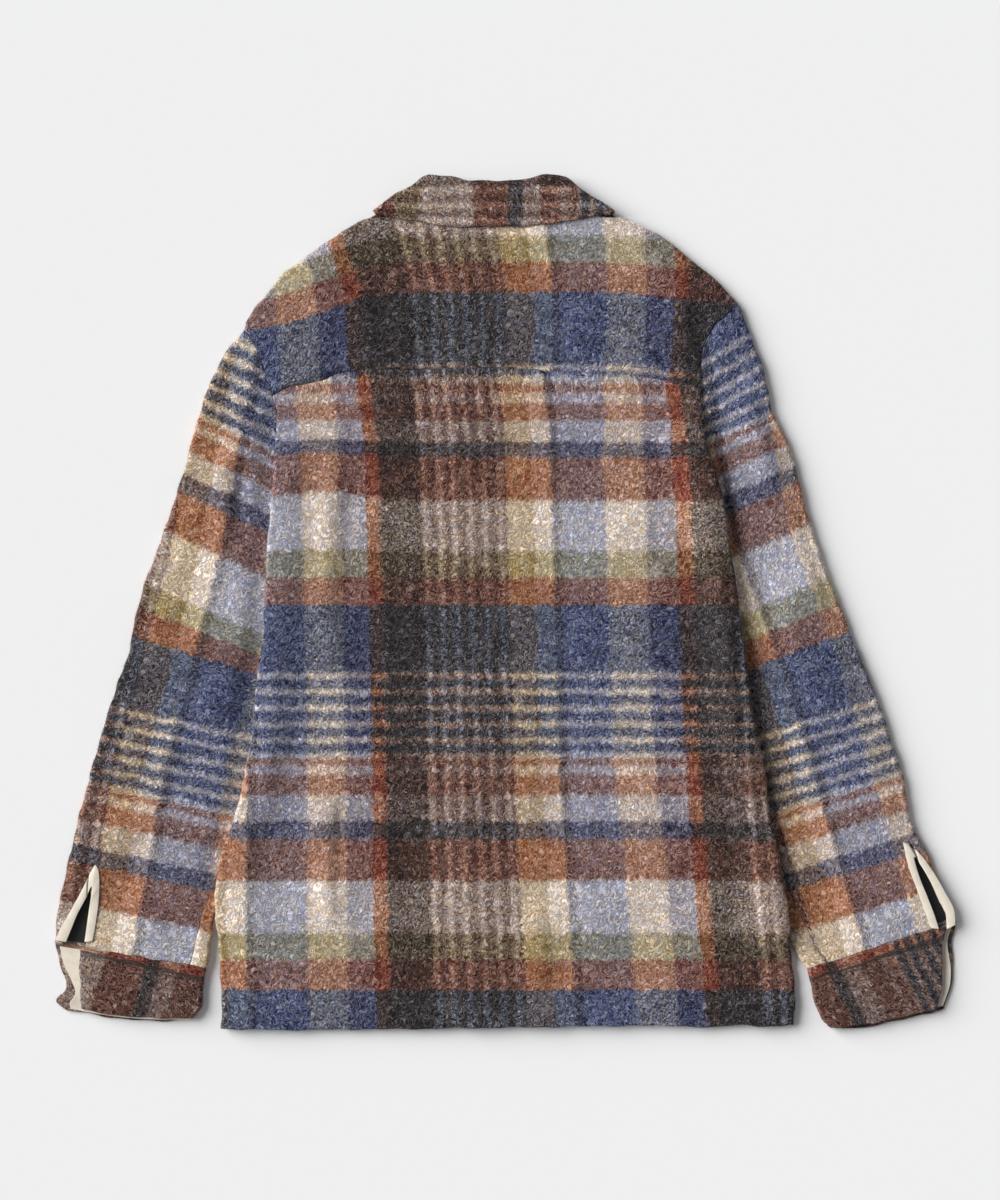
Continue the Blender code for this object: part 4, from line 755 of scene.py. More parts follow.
def swell_height(x, y, seed, low=0.7):
    """Uneven low swells, a few centimetres to a hand's width across."""
    rng = np.random.default_rng(seed)
    total = np.zeros_like(x)
    for length, height in SWELLS:
        for _ in range(3):
            turn, phase = rng.uniform(0, math.pi), rng.uniform(0, 2 * math.pi)
            bend = 12.0 * np.sin(y / 61.0 + phase) + 9.0 * np.cos(x / 47.0 + turn)
            wave = (x * math.cos(turn) + y * math.sin(turn) + bend) * 2 * math.pi / length
            total = total + height * np.sin(wave + phase) / 3
    return total * low * SWELL_GAIN


print("creases:", len(BACK_STROKES), "on the back,", len(YOKE_STROKES), "on the yoke")

# %% [markdown]
# ## Body heights
# The back lies over two fronts, over its own placket in the middle and over the tucked sleeves at
# the sides. The heights below are the CAD's own, so the dressed cloth sits where the solids are.
# Only the right side stands a few millimetres higher, for the shadow that the photograph has there.

# %% How high the body lies
def side_x(side, y):
    pts = np.array(BODY_SIDE[side])
    return smooth(pts[:, 1], pts[:, 0], y)


def tuck_x(side, y):
    pts = np.array(SLEEVE_ROWS[side])
    return smooth(pts[:, 3], pts[:, 2], y)


def centre_x(y):
    return -11.5 + 12.0 * ramp(280.0, -384.0, y)


def side_lift(side, y):
    return ramp(-315.0, -283.0, y) if side < 0 else ramp(-328.0, -296.0, y)


def back_lift(side, y):
    top = ramp(165.0, 112.0, y) if side < 0 else ramp(200.0, 135.0, y)
    return side_lift(side, y) * top


def back_fold(side, y):
    return ramp(150.0, 112.0, y) if side < 0 else ramp(170.0, 112.0, y)


def yoke_seam_y(x):
    seam_pts = np.array(YOKE_SEAM)
    return smooth(*xy(seam_pts), x)


def seam_dip(away, depth, half_width):
    """A sewn seam: a narrow ditch, with the cloth puffed a little on both sides."""
    puff = 0.45 * depth * np.exp(-((np.abs(away) - 2.6 * half_width) / (1.5 * half_width))**2)
    return puff - depth * np.exp(-(away / half_width)**2)


def back_top(x, y):
    ridge = (1 - ramp(28.0, 58.0, np.abs(x - centre_x(y)))) * (1 - ramp(292.0, 315.0, y))
    neck = ramp(300.0, 335.0, y) * (1 - ramp(130.0, 165.0, np.abs(x + 11.0)))
    z = BODY_TOP + RIDGE * 0.8 * ridge + NECK_LIFT * neck
    for side in (-1, 1):
        inside = side * (side_x(side, y) - x)
        z = z + SIDE_LIFT[side] * back_lift(side, y) * (1 - ramp(12.0, 46.0, inside))
    return z


print("body height in mm: middle %.1f, right side %.1f" % (back_top(0.0, 0.0), back_top(200.0, 0.0)))


HEM_STITCH = ((205, 1003), (222, 1002), (302, 1001), (375, 1002), (445, 1004), (551, 1003.6), (588, 999.7),
              (636, 999), (705, 998), (768, 989), (792, 987))


def hem_relief(x, y):
    """Turned hem: a stitched groove above a slightly fuller doubled edge."""
    line_y = path([from_photo(*p) for p in HEM_STITCH])(np.linspace(0, 1, 60))
    order = np.argsort(line_y[:, 0])
    away = y - np.interp(x, line_y[order, 0], line_y[order, 1])
    pucker = 0.25 * np.sin(x / 3.1 + 2.0 * np.sin(x / 23.0)) * np.exp(-(away / 6.0)**2)
    return 0.55 * ramp(2.0, -4.0, away) - 0.8 * np.exp(-(away / 1.7)**2) + pucker


def dressed_back(strokes, seed):
    """The back's height with its creases, swells, seam and hem."""
    def height(x, y):
        z = back_top(x, y) + seam_dip(y - yoke_seam_y(x), 1.0, 1.9)
        soft = crease_height(x, y, strokes) + swell_height(x, y, seed)
        for side in (-1, 1):
            soft = soft * (0.3 + 0.7 * ramp(2.0, 22.0, side * (side_x(side, np.minimum(y, 187.0)) - x)))
        return z + soft + hem_relief(x, y) * ramp(-300.0, -345.0, y)
    return height


# %% [markdown]
# ## Back panel and yoke
# The back is one flat pattern piece folded round at both sides, and the yoke is a second one that
# rolls over both shoulders. Both are the same kind of grid: rows from the lower edge to the upper
# one, columns from the left fold to the right fold, closer together where the cloth bends.

# %% A flat panel with folded sides
# Columns at a fold are closest where the cloth turns down, at these angles from the vertical
FOLD_TURN = np.array([90.0, 80.0, 70.0, 60.0, 50.0, 40.0, 30.0, 20.0, 10.0, 0.0])
FOLD_STEPS = FOLD_R * (1 - np.sin(np.radians(FOLD_TURN)))
PITCH = 3.0 if fine else 7.0       # millimetres between the points of a shown piece
UNDER_PITCH = 5.0 if fine else 9.0
print("a point every", PITCH, "mm on top and", UNDER_PITCH, "mm below")


def edge_first(values, scale):
    """Extra samples just inside both ends, for the softened edge."""
    steps = np.array([0.35, 0.8, 1.4, 2.2]) / scale
    low, high = min(values[0], values[-1]), max(values[0], values[-1])
    more = np.concatenate([values, low + steps, high - steps])
    return np.unique(np.clip(more, low, high))


def soft_places(count, length):
    """Even shares of a length in millimetres, with the soft edge's own at both ends."""
    return edge_first(np.linspace(0, 1, count), length)


def column_shares(width, left, middle, right):
    """Places across a row: fixed steps at both sides and even shares between them."""
    width = np.atleast_1d(width)[:, None]
    first, last = left[-1] / width, 1 - right[0] / width
    return np.concatenate([left[None, :-1] / width, first + (last - first) * middle[None],
                           1 - right[None, 1:] / width], 1)


def turn_of_columns(count, folded):
    """Fold angle of each column, from the left edge, in radians."""
    turn = np.zeros(count)
    if folded:
        turn[:len(FOLD_TURN)] = np.radians(FOLD_TURN)
    return turn


def panel_grid(lp, rp, g, fold_l, fold_r, columns, top, bottom, height, exponent):
    """Outer and inner points of a panel that lies with its face up."""
    left, middle, right = columns
    chord = rp - lp
    width = np.hypot(*chord.T)
    out = (chord / width[:, None])[:, None]
    w = column_shares(width, left, middle, right)
    pts = lp[:, None] + chord[:, None] * w[..., None]
    for row, curve, weight in ((0, bottom, (1 - g)**exponent), (-1, top, g**exponent)):
        straight = lp[row] + chord[row] * w[row][:, None]
        pts = pts + (curve(w[row]) - straight)[None] * weight[:, None, None]
    turn_l = turn_of_columns(w.shape[1], True)[None] * fold_l[:, None]
    turn_r = turn_of_columns(w.shape[1], True)[::-1][None] * fold_r[:, None]
    z = height(*xy(pts))
    z = z - FOLD_R * (fold_l[:, None] * (1 - np.cos(turn_of_columns(w.shape[1], True)))[None])
    z = z - FOLD_R * (fold_r[:, None] * (1 - np.cos(turn_of_columns(w.shape[1], True)[::-1]))[None])
    outer = lifted(pts, z)
    tilt = turn_l + turn_r
    sign = np.where(turn_l > turn_r, -1.0, 1.0)
    inner = outer.copy()
    inner[..., :2] -= WALL * np.sin(tilt)[..., None] * sign[..., None] * out
    inner[..., 2] -= WALL * np.cos(tilt)
    return outer, inner, w[-1]


def sample_rows(count_table, pitch, length, extra=()):
    """Row places counted in table rows, at about the pitch and closer at both ends."""
    even = np.linspace(0, count_table - 1, int(length / pitch))
    return edge_first(np.unique(np.concatenate([even, extra])), length / (count_table - 1))


# %% Back panel
seam_line, hem_line = path(YOKE_SEAM), path(HEM)
half_seam = np.array([0.0, SEAM / 2])
SIDE_Y = (-350.0, -318.0, -288.0, -260.0, -228.0, -190.0, -150.0, -110.0, -70.0, -30.0, 10.0,
          45.0, 75.0, 95.0, 110.0)
left_y = np.array((-384.0,) + SIDE_Y + (119.5, 132.0, 146.0, 160.0, 174.0, 187.0))
right_y = np.array((-378.0,) + SIDE_Y + (119.5, 133.0, 147.0, 162.0, 177.0, 190.5))
BACK_LONG = 571.0
row_at = sample_rows(len(left_y), PITCH, BACK_LONG)
number = np.arange(len(left_y))
ly, ry = np.interp(row_at, number, left_y), np.interp(row_at, number, right_y)
lp, rp = np.stack([side_x(-1, ly), ly], -1), np.stack([side_x(1, ry), ry], -1)
near_edge = np.array([6.5, 9.0, 12.0])
sides = np.concatenate([FOLD_STEPS, near_edge])
across = (sides, np.linspace(0, 1, int(440 / PITCH)), sides[::-1])
back_height = dressed_back(BACK_STROKES, 11)
up = (ly + 384.0) / BACK_LONG
back_outer, back_inner, _ = panel_grid(lp, rp, up, back_fold(-1, ly), back_fold(1, ry), across,
                                       lambda w: seam_line(w) - half_seam, hem_line, back_height, 4.0)
back = sew("wool_back_panel", back_outer, back_inner, body_cloth(*xy(back_outer)),
           ["back_panel"])

# %% Back yoke, rolled over both shoulders
shoulder_l, shoulder_r = path(SHOULDER[-1]), path(SHOULDER[1])
back_neck = path(BACK_NECK)
arm_l, arm_r = path(ARMHOLE[-1]), path(ARMHOLE[1])
YOKE_L, YOKE_R = 0.27, 0.30               # shares of the yoke's top edge that are shoulder
ARM_SEAM_L, ARM_SEAM_R = 0.4712, 0.575    # how far down each armhole the yoke seam meets it
ARM_TOP_L, ARM_TOP_R = 0.0297, 0.0242


def unit(v):
    v = np.asarray(v, float)
    return v / np.hypot(*v)


def yoke_top(w):
    """Left shoulder, back neck, right shoulder."""
    pts = back_neck((w - YOKE_L) / (1 - YOKE_L - YOKE_R))
    pts = np.where((w < YOKE_L)[:, None], shoulder_l(w / YOKE_L), pts)
    return np.where((w > 1 - YOKE_R)[:, None], shoulder_r((1 - w) / YOKE_R), pts)


def inward_ways(edge, first, last):
    """Unit directions into the cloth along an edge that runs left to right."""
    t = np.gradient(edge, axis=0)
    t /= np.hypot(*xy(t))[:, None]
    ways = np.stack([t[:, 1], -t[:, 0]], -1)
    blend = 7
    for k in range(blend):
        ways[k] = unit(np.asarray(first) * (blend - k) + ways[k] * k)
        ways[-1 - k] = unit(np.asarray(last) * (blend - k) + ways[-1 - k] * k)
    return ways


def yoke_fold(w):
    edge = yoke_top(w)
    ways = inward_ways(edge, unit(arm_l(0.05) - arm_l(0.0)), unit(arm_r(0.05) - arm_r(0.0)))
    share = np.where(w < YOKE_L, 1 - ramp(YOKE_L - 0.05, YOKE_L, w), ramp(1 - YOKE_R, 1 - YOKE_R + 0.05, w))
    return edge, ways, share


def yoke_inset(w):
    edge, ways, _ = yoke_fold(w)
    return edge + ways * FOLD_R


def rolled_edge(edge, ways, share, height, radius, facing):
    """Rows that carry a panel over its shoulder fold."""
    outer, inner = [], []
    for turn in FOLD_TURN[-2::-1]:
        step = FOLD_R * (1 - math.sin(math.radians(turn)))
        p = edge + ways * step
        tilt = np.radians(turn) * share
        z = height(*xy(p)) - facing * share * radius * (1 - math.cos(math.radians(turn)))
        outer.append(lifted(p, z))
        q = p + WALL * np.sin(tilt)[:, None] * ways
        inner.append(lifted(q, z - facing * WALL * np.cos(tilt)))
    return np.array(outer), np.array(inner)


up = soft_places(int(160 / PITCH), 160.0)
al, ar = ARM_SEAM_L * (1 - up) + ARM_TOP_L * up, ARM_SEAM_R * (1 - up) + ARM_TOP_R * up
lp, rp = arm_l(al), arm_r(ar)
lp[0], rp[0] = (-210.0, 187.0), (174.5, 190.5)
none = np.zeros(len(up))
yoke_height = dressed_back(YOKE_STROKES + BACK_STROKES[4:5], 11)
across = (sides, np.linspace(0, 1, int(380 / PITCH)), sides[::-1])
outer, inner, wt = panel_grid(lp, rp, up, none, none, across, yoke_inset, lambda w: seam_line(w) + half_seam,
                              yoke_height, 1.0)
roll_outer, roll_inner = rolled_edge(*yoke_fold(wt), yoke_height, FOLD_R, 1)
outer, inner = np.concatenate([outer, roll_outer]), np.concatenate([inner, roll_inner])
yoke = sew("wool_back_yoke", outer, inner, yoke_cloth(*xy(outer)), ["back_yoke"])

# %% [markdown]
# ## Sleeves
# Each sleeve is a two-piece tube pressed flat: an upper piece round the outer fold, and a narrow
# under piece round the inner fold. Its section is worked out row by row, from the shoulder to the
# cuff, as a floor, an outer turn and a top, so the cloth keeps its thickness all the way round.


# %% Sleeve sections
def sleeve_row(side, q):
    rows = np.array(SLEEVE_ROWS[side], float)
    return np.array([smooth(np.arange(len(rows)), rows[:, i], q) for i in range(4)])


def sleeve_form(side, q):
    rows = np.array(SLEEVE_FORM[side], float)
    return [smooth(rows[:, 0], rows[:, i], q) for i in range(1, 5)]


def sleeve_width(side, q):
    ox, oy, ix, iy = sleeve_row(side, q)
    return np.hypot(ox - ix, oy - iy)


def sleeve_plan(side, q, d):
    """X and Y at distance d from the outer fold, on sleeve row q."""
    ox, oy, ix, iy = sleeve_row(side, q)
    w = d / np.hypot(ox - ix, oy - iy)
    arm = path(ARMHOLE[side])
    a, b = np.array(ARMHOLE[side][0]), np.array(ARMHOLE[side][-1])
    inside = np.clip(w, 0, 1)
    bulge = arm(inside) - (a + (b - a) * inside[..., None])
    run = arm(inside + 0.01) - arm(inside - 0.01)
    out = np.stack([-run[..., 1], run[..., 0]], -1) / np.hypot(*xy(run))[..., None] * side
    straight = np.stack([ox + (ix - ox) * w, oy + (iy - oy) * w], -1)
    fade = np.maximum(0, 1 - q / 5.0)**1.5
    gap = ARM_GAP * np.maximum(0, 1 - q / 0.35)
    return straight + bulge * (fade + 0 * w)[..., None] + out * (gap + 0 * w)[..., None]


VALLEY = {-1: 24.0, 1: 46.0}     # how far out the sleeve has risen again beside the body


def sleeve_top(side, q, d):
    """Height of the sleeve's top layer, with its creases."""
    plan = sleeve_plan(side, q, d)
    x, y = xy(plan)
    mid = sleeve_form(side, q)[0]
    edge = 8.3 + 0.7 * ramp(0, 2, q) - 0.4 * ramp(12, 14, q)
    y_low = (157.0, 177.0) if side < 0 else (199.0, 216.0)
    low = SLEEVE_TUCK + (BODY_TOP - SLEEVE_TUCK) * ramp(y_low[0], y_low[1], y)
    low = low + (mid - low) * ramp(12.0, 14.0, q) * 0.9
    first_y = BODY_SIDE[side][0][1]
    outside = np.where(y > first_y, 10.0 * q, side * (x - side_x(side, np.minimum(y, first_y))))
    body = ramp(1.5, VALLEY[side], outside)
    z = low + (mid - low) * body
    soft = crease_height(x, y, SLEEVE_STROKES[side]) + swell_height(x, y, 30 + side, 0.8)
    dip = seam_dip(10.0 * q + 0 * d, 1.0, 1.6) * (y > first_y - 20)
    z = z + (soft * ramp(0.0, 0.8, q) * ramp(14.0, 13.4, q)) * (0.15 + 0.85 * body) + dip
    return edge + (z - edge) * ramp(OUTER_R, OUTER_R + 20.0, d)


def sleeve_skin(side, q, part, v):
    """Outer and inner points, and distance round from the outer fold."""
    q = q + 0 * v
    if part in ("floor", "top"):
        plan = sleeve_plan(side, q, v)
        z = sleeve_top(side, q, v) if part == "top" else 0 * v
        inner_z = z - WALL if part == "top" else z + WALL
        return (lifted(plan, z), lifted(plan, inner_z),
                v if part == "top" else -v)
    c, s = np.cos(np.radians(v)), np.sin(np.radians(v))
    if part == "outer":
        r, centre, sign = OUTER_R, OUTER_R + 0 * v, -1
    else:
        r, centre, sign = INNER_R, sleeve_width(side, q) - INNER_R, 1
    half = sleeve_top(side, q, centre) / 2
    plan = sleeve_plan(side, q, centre + sign * r * c)
    plan_in = sleeve_plan(side, q, centre + sign * (r - WALL) * c)
    return (lifted(plan, half + half * s),
            lifted(plan_in, half + (half - WALL) * s), OUTER_R * v / 90.0)


# %% Two pieces of each sleeve
FLOOR_SEAM = 0.30        # the floor's seam, as a share of the sleeve's width from the outer fold
UNDER_START = 168.0      # where the under pieces were cut across the warp repeat, in photograph pixels
ROUND = np.linspace(-90.0, 90.0, 15)


def sleeve_columns(side, q, parts):
    """Outer and inner points of some parts of the tube, and distances round from both folds."""
    columns = []
    for part, places, start, end in parts:
        if start is None:
            v = places[None] + 0 * q
            from_inner = INNER_R * v / 90.0
        else:
            v = start + (end - start) * places[None]
            from_inner = (sleeve_width(side, q) - v) * (1 if part == "top" else -1)
        columns.append((*sleeve_skin(side, q, part, v), from_inner))
    return [np.concatenate(column, 1) for column in zip(*columns)]


def sleeve(side, tag):
    q = np.linspace(0, 14, 170 if fine else 60)
    q = np.unique(np.concatenate([edge_first(q, 40.0), [SLIT_ROW[side] + 0.02, SLIT_ROW[side]]]))[:, None]
    width = sleeve_width(side, q)
    _, slit_a, slit_b, seam_e = sleeve_form(side, q)
    open_share = 0.12 + 0.88 * ramp(SLIT_ROW[side], SLIT_ROW[side] + 0.9, q)
    slit_b = slit_a + (slit_b - slit_a) * open_share
    stop = width - np.maximum(seam_e, INNER_R + 1.0)
    first = FLOOR_SEAM * width
    parts = [("floor", soft_places(int(45 / UNDER_PITCH), 45.0), first, OUTER_R + 0 * q),
             ("outer", ROUND[1:-1], None, None),
             ("top", np.linspace(0, 1, 6), OUTER_R + 0 * q, slit_a),
             ("top", np.linspace(0, 1, 3)[1:], slit_a, slit_b),
             ("top", soft_places(int(125 / PITCH), 125.0)[1:], slit_b, stop - SEAM / 2)]
    slit_from = sum(len(part[1]) for part in parts[:3]) - 1
    outer, inner, round_by, _ = sleeve_columns(side, q, parts)
    plan = sleeve_plan(side, q + 0 * round_by, round_by)
    cloth = sleeve_cloth(side, *xy(plan))
    keep = np.ones((outer.shape[0] - 1, outer.shape[1] - 1), bool)
    keep[np.ix_(q[:-1, 0] >= SLIT_ROW[side] - 1e-6, [slit_from, slit_from + 1])] = False
    upper = sew("wool_sleeve_%s_upper" % tag, outer, inner, cloth, ["sleeve_%s_upper" % tag], keep=keep)
    parts = [("top", soft_places(5, 6.0), stop + SEAM / 2, width - INNER_R),
             ("inner", ROUND[::-1][1:-1], None, None),
             ("floor", soft_places(int(100 / UNDER_PITCH), 100.0), width - INNER_R, first + SEAM)]
    outer, inner, _, inward = sleeve_columns(side, q, parts)
    cloth = sleeve_cloth(side, *xy(outer))
    cloth[..., 0] = (UNDER_START - side * inward / MM_PER_PIXEL) / PHOTO_WARP
    under = sew("wool_sleeve_%s_under" % tag, outer, inner, cloth, ["sleeve_%s_under" % tag])


sleeve(-1, "left")
sleeve(1, "right")

# %% [markdown]
# ## Cuffs
# Each cuff is an open band, folded in two over a cream facing. It lies flattened, with its under
# end reaching past the top one, so a strip of facing shows. The wool and the facing are the same
# band at two depths.


# %% Cream twill tape and facing
def cream_twill(name):
    """Cotton twill tape: matte, with fine slanting ribs about a millimetre apart."""
    finish, tree = new_finish(name)
    place = add(tree, "TexCoord").outputs["Object"]
    rib = add(tree, "TexWave", {"Vector": place, "Scale": 320.0, "Distortion": 1.2, "Detail": 1.0},
              bands_direction="DIAGONAL").outputs["Fac"]
    blotch = add(tree, "TexNoise", {"Vector": place, "Scale": 180.0, "Detail": 3.0}).outputs["Fac"]
    cream = add(tree, "MixRGB", {0: rib, 1: (*linear("#DCD0BC"), 1), 2: (*linear("#EEE6D8"), 1)})
    soiled = add(tree, "MapRange", {"Value": blotch, "From Min": 0.3, "From Max": 0.7,
                                    "To Min": 0.9, "To Max": 1.04})
    shade = add(tree, "VectorMath", {0: cream, 1: soiled}, operation="MULTIPLY")
    bump = add(tree, "Bump", {"Height": rib, "Strength": 0.5, "Distance": 0.0003})
    cotton = add(tree, "BsdfPrincipled", {"Base Color": shade, "Roughness": 0.88, "Specular IOR Level": 0.25,
                                          "Sheen Weight": 0.12, "Normal": bump})
    add(tree, "OutputMaterial", {"Surface": cotton})
    return finish


tape_cloth = cream_twill("cream_cotton_twill")
print("tape and facing:", tape_cloth.name)


# %% Where a cuff lies, and its cloth
def cuff_row(side, t):
    rows = np.array(CUFF_ROWS[side], float)
    return [smooth(np.arange(len(rows)), rows[:, i], t) for i in range(5)]


def cuff_plan(side, t, d):
    ox, oy, ix, iy, _ = cuff_row(side, t)
    w = d / np.hypot(ox - ix, oy - iy)
    sag = CUFF_SAG[side] * np.sin(math.pi * np.clip(w, 0, 1)) * ramp(1.0, 4.0, t)
    return np.stack([ox + (ix - ox) * w, oy + (iy - oy) * w - np.abs(sag) * 0.8], -1)


CUFF_SEAM = {-1: ((80, 939), (205, 967)), 1: ((807, 968), (940, 926))}     # top edge, in pixels
CUFF_LEAN, CUFF_MIDDLE = {-1: -0.28, 1: 0.50}, {-1: 985, 1: 970}           # how its bands lean, about a row
CUFF_WARP = ((0, 3261), (12, 3273), (14, 3320), (70, 3376))     # ten repeats on: an orange edge, then grey
CUFF_BANDS = {
    -1: ((80, 290), (97, 275), (140, 234), (155, 216), (178, 186), (203, 168)),
    1: ((790, 275), (827, 234), (841, 216), (868, 186), (886, 168), (897, 158), (904, 150), (940, 110)),
}


def cuff_cloth(side, x, y):
    """The cuff is cut across the cloth, so its bands run down it and the orange stripe along its top."""
    px, py = to_photo(x, y)
    lean = px - (py - CUFF_MIDDLE[side]) * CUFF_LEAN[side]
    down = follow(CUFF_WARP, py - follow(CUFF_SEAM[side], px))
    return np.stack([down / PHOTO_WARP, follow(CUFF_BANDS[side], lean) / PHOTO_WEFT], -1)


# %% Cuff bands
CUFF_R = 4.5            # fold of the cuff's band
CUFF_GROOVES = ((0.7, 0.42), (0.4, 3.75))     # a stitched line: how deep, and on which row of the cuff
GROOVE_ROWS = 0.09
# The facing stops short of the wool at the open end: millimetres at each row of the cuff
FACING_SHORT = {-1: (4.3, 4.0, 6.0, 8.5, 5.0), 1: (2.7, 4.5, 2.5, 1.0, 0.8)}
FACING_END = {-1: 5.5, 1: 4.0}    # the left one shows below the wool
UNDER_DROP = 3.4        # the under layer hangs lower than the top one
CURL_OUT, CURL_UP = 11.0, 3.5     # the left cuff's corner curls out from under
CURL_ROW, CURL_ROWS, CURL_WIDE = 3.3, 0.55, 9.0


def cuff_band(side, depth, wall, short, trim, ts):
    """One layer of the cuff, at a depth inside its outer face."""
    t = np.clip(ts, 0, 4.0)[:, None]
    ox, oy, ix, iy, start = cuff_row(side, t)
    width = np.hypot(ox - ix, oy - iy)
    extra = np.maximum(0.0, ts - 4.0)[:, None]
    half = CUFF_TOP / 2
    places = soft_places(int(120 / PITCH), 120.0)[None]
    faces = [[], []]
    for part in ("floor", "round", "top"):
        for k, deep in enumerate((depth, depth + wall)):
            if part == "floor":
                first = smooth(np.arange(5), short, t)
                d = first + (width - CUFF_R - first) * places
                plan, z = cuff_plan(side, t, d), deep + 0 * d
                drop = UNDER_DROP * ramp(2.8, 4.0, t) * (1 - ramp(0.75, 1.0, d / width)) * (depth < 1)
                curl = np.exp(-(d / CURL_WIDE)**2 - ((t - CURL_ROW) / CURL_ROWS)**2) * (side < 0)
                plan = plan - np.stack([CURL_OUT * curl, drop], -1)
                z = z + CURL_UP * curl
            elif part == "round":
                a = np.radians(ROUND[1:-1])[None] + 0 * t
                plan = cuff_plan(side, t, width - CUFF_R + (CUFF_R - deep) * np.cos(a))
                z = half + (half - deep) * np.sin(a)
            else:
                d = (width - CUFF_R) + (start + trim - width + CUFF_R) * places
                plan = cuff_plan(side, t, d)
                soft = swell_height(*xy(plan), 50 + side, 0.35)
                z = CUFF_TOP - deep + soft * ramp(0, 12, d - start - trim) * ramp(0, 0.5, t)
                for sink, row in CUFF_GROOVES:
                    z = z - sink * np.exp(-((t - row) / GROOVE_ROWS)**2) * (deep < 1)
            faces[k].append(lifted(plan - extra[..., None] * (0, 1), z))
    return np.concatenate(faces[0], 1), np.concatenate(faces[1], 1)


for side, tag in ((-1, "left"), (1, "right")):
    ts = edge_first(np.linspace(0, 4.0, 26), 14.0)
    outer, inner = cuff_band(side, 0.0, WALL, (0.0,) * 5, 0.0, ts)
    cloth = cuff_cloth(side, *xy(outer))
    cuff = sew("wool_cuff_" + tag, outer, inner, cloth, ["cuff_" + tag])
    ts = edge_first(np.linspace(0.15, FACING_END[side], 30), 14.0)
    outer, inner = cuff_band(side, WALL + LAP, 1.0, FACING_SHORT[side], 1.5, ts)
    facing = sew("cream_cuff_facing_" + tag, outer, inner, outer[..., :2] / 100, ["cuff_facing_" + tag],
                 tape_cloth, soft=False)

# %% [markdown]
# ## Collar
# The leaf folds down over the back neck, wraps round both sides of the neck, and ends in two
# wings under the fronts. The fold is a soft roll, and a line of stitching follows the edge.

# %% Collar leaf and stand
LEAF_TOP, STAND_TOP = 13.9, 11.1
COLLAR_STITCH = ((399, 208), (422, 212.6), (455, 216.4), (504, 216.8), (531, 215.5), (560, 214.5),
                 (579, 210.7), (608, 204))
COLLAR_BANDS = ((378, 372), (395, 353), (420, 327), (473, 275), (508, 234), (523, 216), (543, 186),
                (563, 168), (575, 158), (580, 150), (600, 130))
COLLAR_START, COLLAR_ROW = 52.0, 180     # pixels through the warp repeat at this row of the photograph


def collar_cloth(x, y):
    px, py = to_photo(x, y)
    across = (COLLAR_START + (py - COLLAR_ROW)) / PHOTO_WARP
    return np.stack([across, follow(COLLAR_BANDS, px) / PHOTO_WEFT], -1)


def collar_leaf():
    fold_back, edge_back = path(COLLAR_FOLD), path(COLLAR_EDGE)
    fold_wing, edge_wing = path(WING_FOLD), path(WING_EDGE)
    flip = np.array([-1.0, 1.0])
    shift = np.array([2 * WING_MIRROR_X, 0.0])
    rows = []
    wing = edge_first(np.linspace(0.06, 1.0, 26), 160.0)[::-1]
    turn = np.linspace(180.0, 0.0, 13)
    for t in wing:
        rows.append((fold_wing(t), edge_wing(t), 180.0, -1, 0))
    for a in turn:
        rows.append((fold_wing(0.0), edge_wing(0.0), a, -1, 1))
    for t in np.linspace(0.0, 1.0, int(230 / PITCH))[1:-1]:
        rows.append((fold_back(t), edge_back(t), 0.0, 0, 0))
    for a in turn[::-1]:
        rows.append((fold_wing(0.0) * flip + shift, edge_wing(0.0) * flip + shift, a, 1, 1))
    for t in wing[::-1]:
        rows.append((fold_wing(t) * flip + shift, edge_wing(t) * flip + shift, 180.0, 1, 0))
    outer, inner = [], []
    places = soft_places(16, 42.0)[:, None]
    half = LEAF_TOP / 2
    for f, e, a, end, turned in rows:
        c, s = math.cos(math.radians(a)), math.sin(math.radians(a))
        p = f + (e - f) * places
        if turned:
            way = unit((0.63 * end, 0.77))
            po, pi = p - way * 4.0 * (1 - s), p - way * (4.0 - (4.0 - WALL) * s)
            zo, zi = half + half * c + 0 * p[:, 0], half + (half - WALL) * c + 0 * p[:, 0]
        elif a > 90:
            po, pi, zo, zi = p, p, 0 * p[:, 0], WALL + 0 * p[:, 0]
        else:
            soft = swell_height(*xy(p), 61, 0.45) * ramp(0, 0.2, places[:, 0])
            away = 40.0 * (1 - places[:, 0])
            roll = -1.1 * (1 - ramp(0.0, 0.09, places[:, 0]))
            groove = 0.55 * ramp(11.5, 6.0, away) - 0.75 * np.exp(-((away - 8.6) / 1.5)**2)
            zo = LEAF_TOP + soft + roll + groove - 0.5
            po, pi, zi = p, p, zo - WALL
        outer.append(lifted(po, zo))
        inner.append(lifted(pi, zi))
    outer, inner = np.array(outer), np.array(inner)
    cloth = collar_cloth(*xy(outer))
    leaf = sew("wool_collar_leaf", outer, inner, cloth, ["collar_leaf"])


def collar_stand():
    fold_back, neck = path(COLLAR_FOLD), path(BACK_NECK)
    t = np.linspace(0.05, 0.95, int(190 / UNDER_PITCH))
    f, n = fold_back(t) - (0.0, 1.2), neck(t) + (0.0, 0.5)
    s = np.linspace(0, 1, 9)[None, :, None]
    plan = n[:, None] + (f - n)[:, None] * s
    top = np.full(plan.shape[:2], STAND_TOP)
    outer, inner = lifted(plan, top), lifted(plan, top - WALL)
    cloth = collar_cloth(*xy(outer))
    stand = sew("wool_collar_stand", outer, inner, cloth, ["collar_stand"])


collar_leaf()
collar_stand()

# %% [markdown]
# ## Fronts
# The fronts lie on the table, where only a turned garment shows them. They are cut to the same
# pattern as the real ones: armhole, shoulder, neck curve and a straight front edge, the second
# lapping over the first along the placket, with the plaid running level with the back.


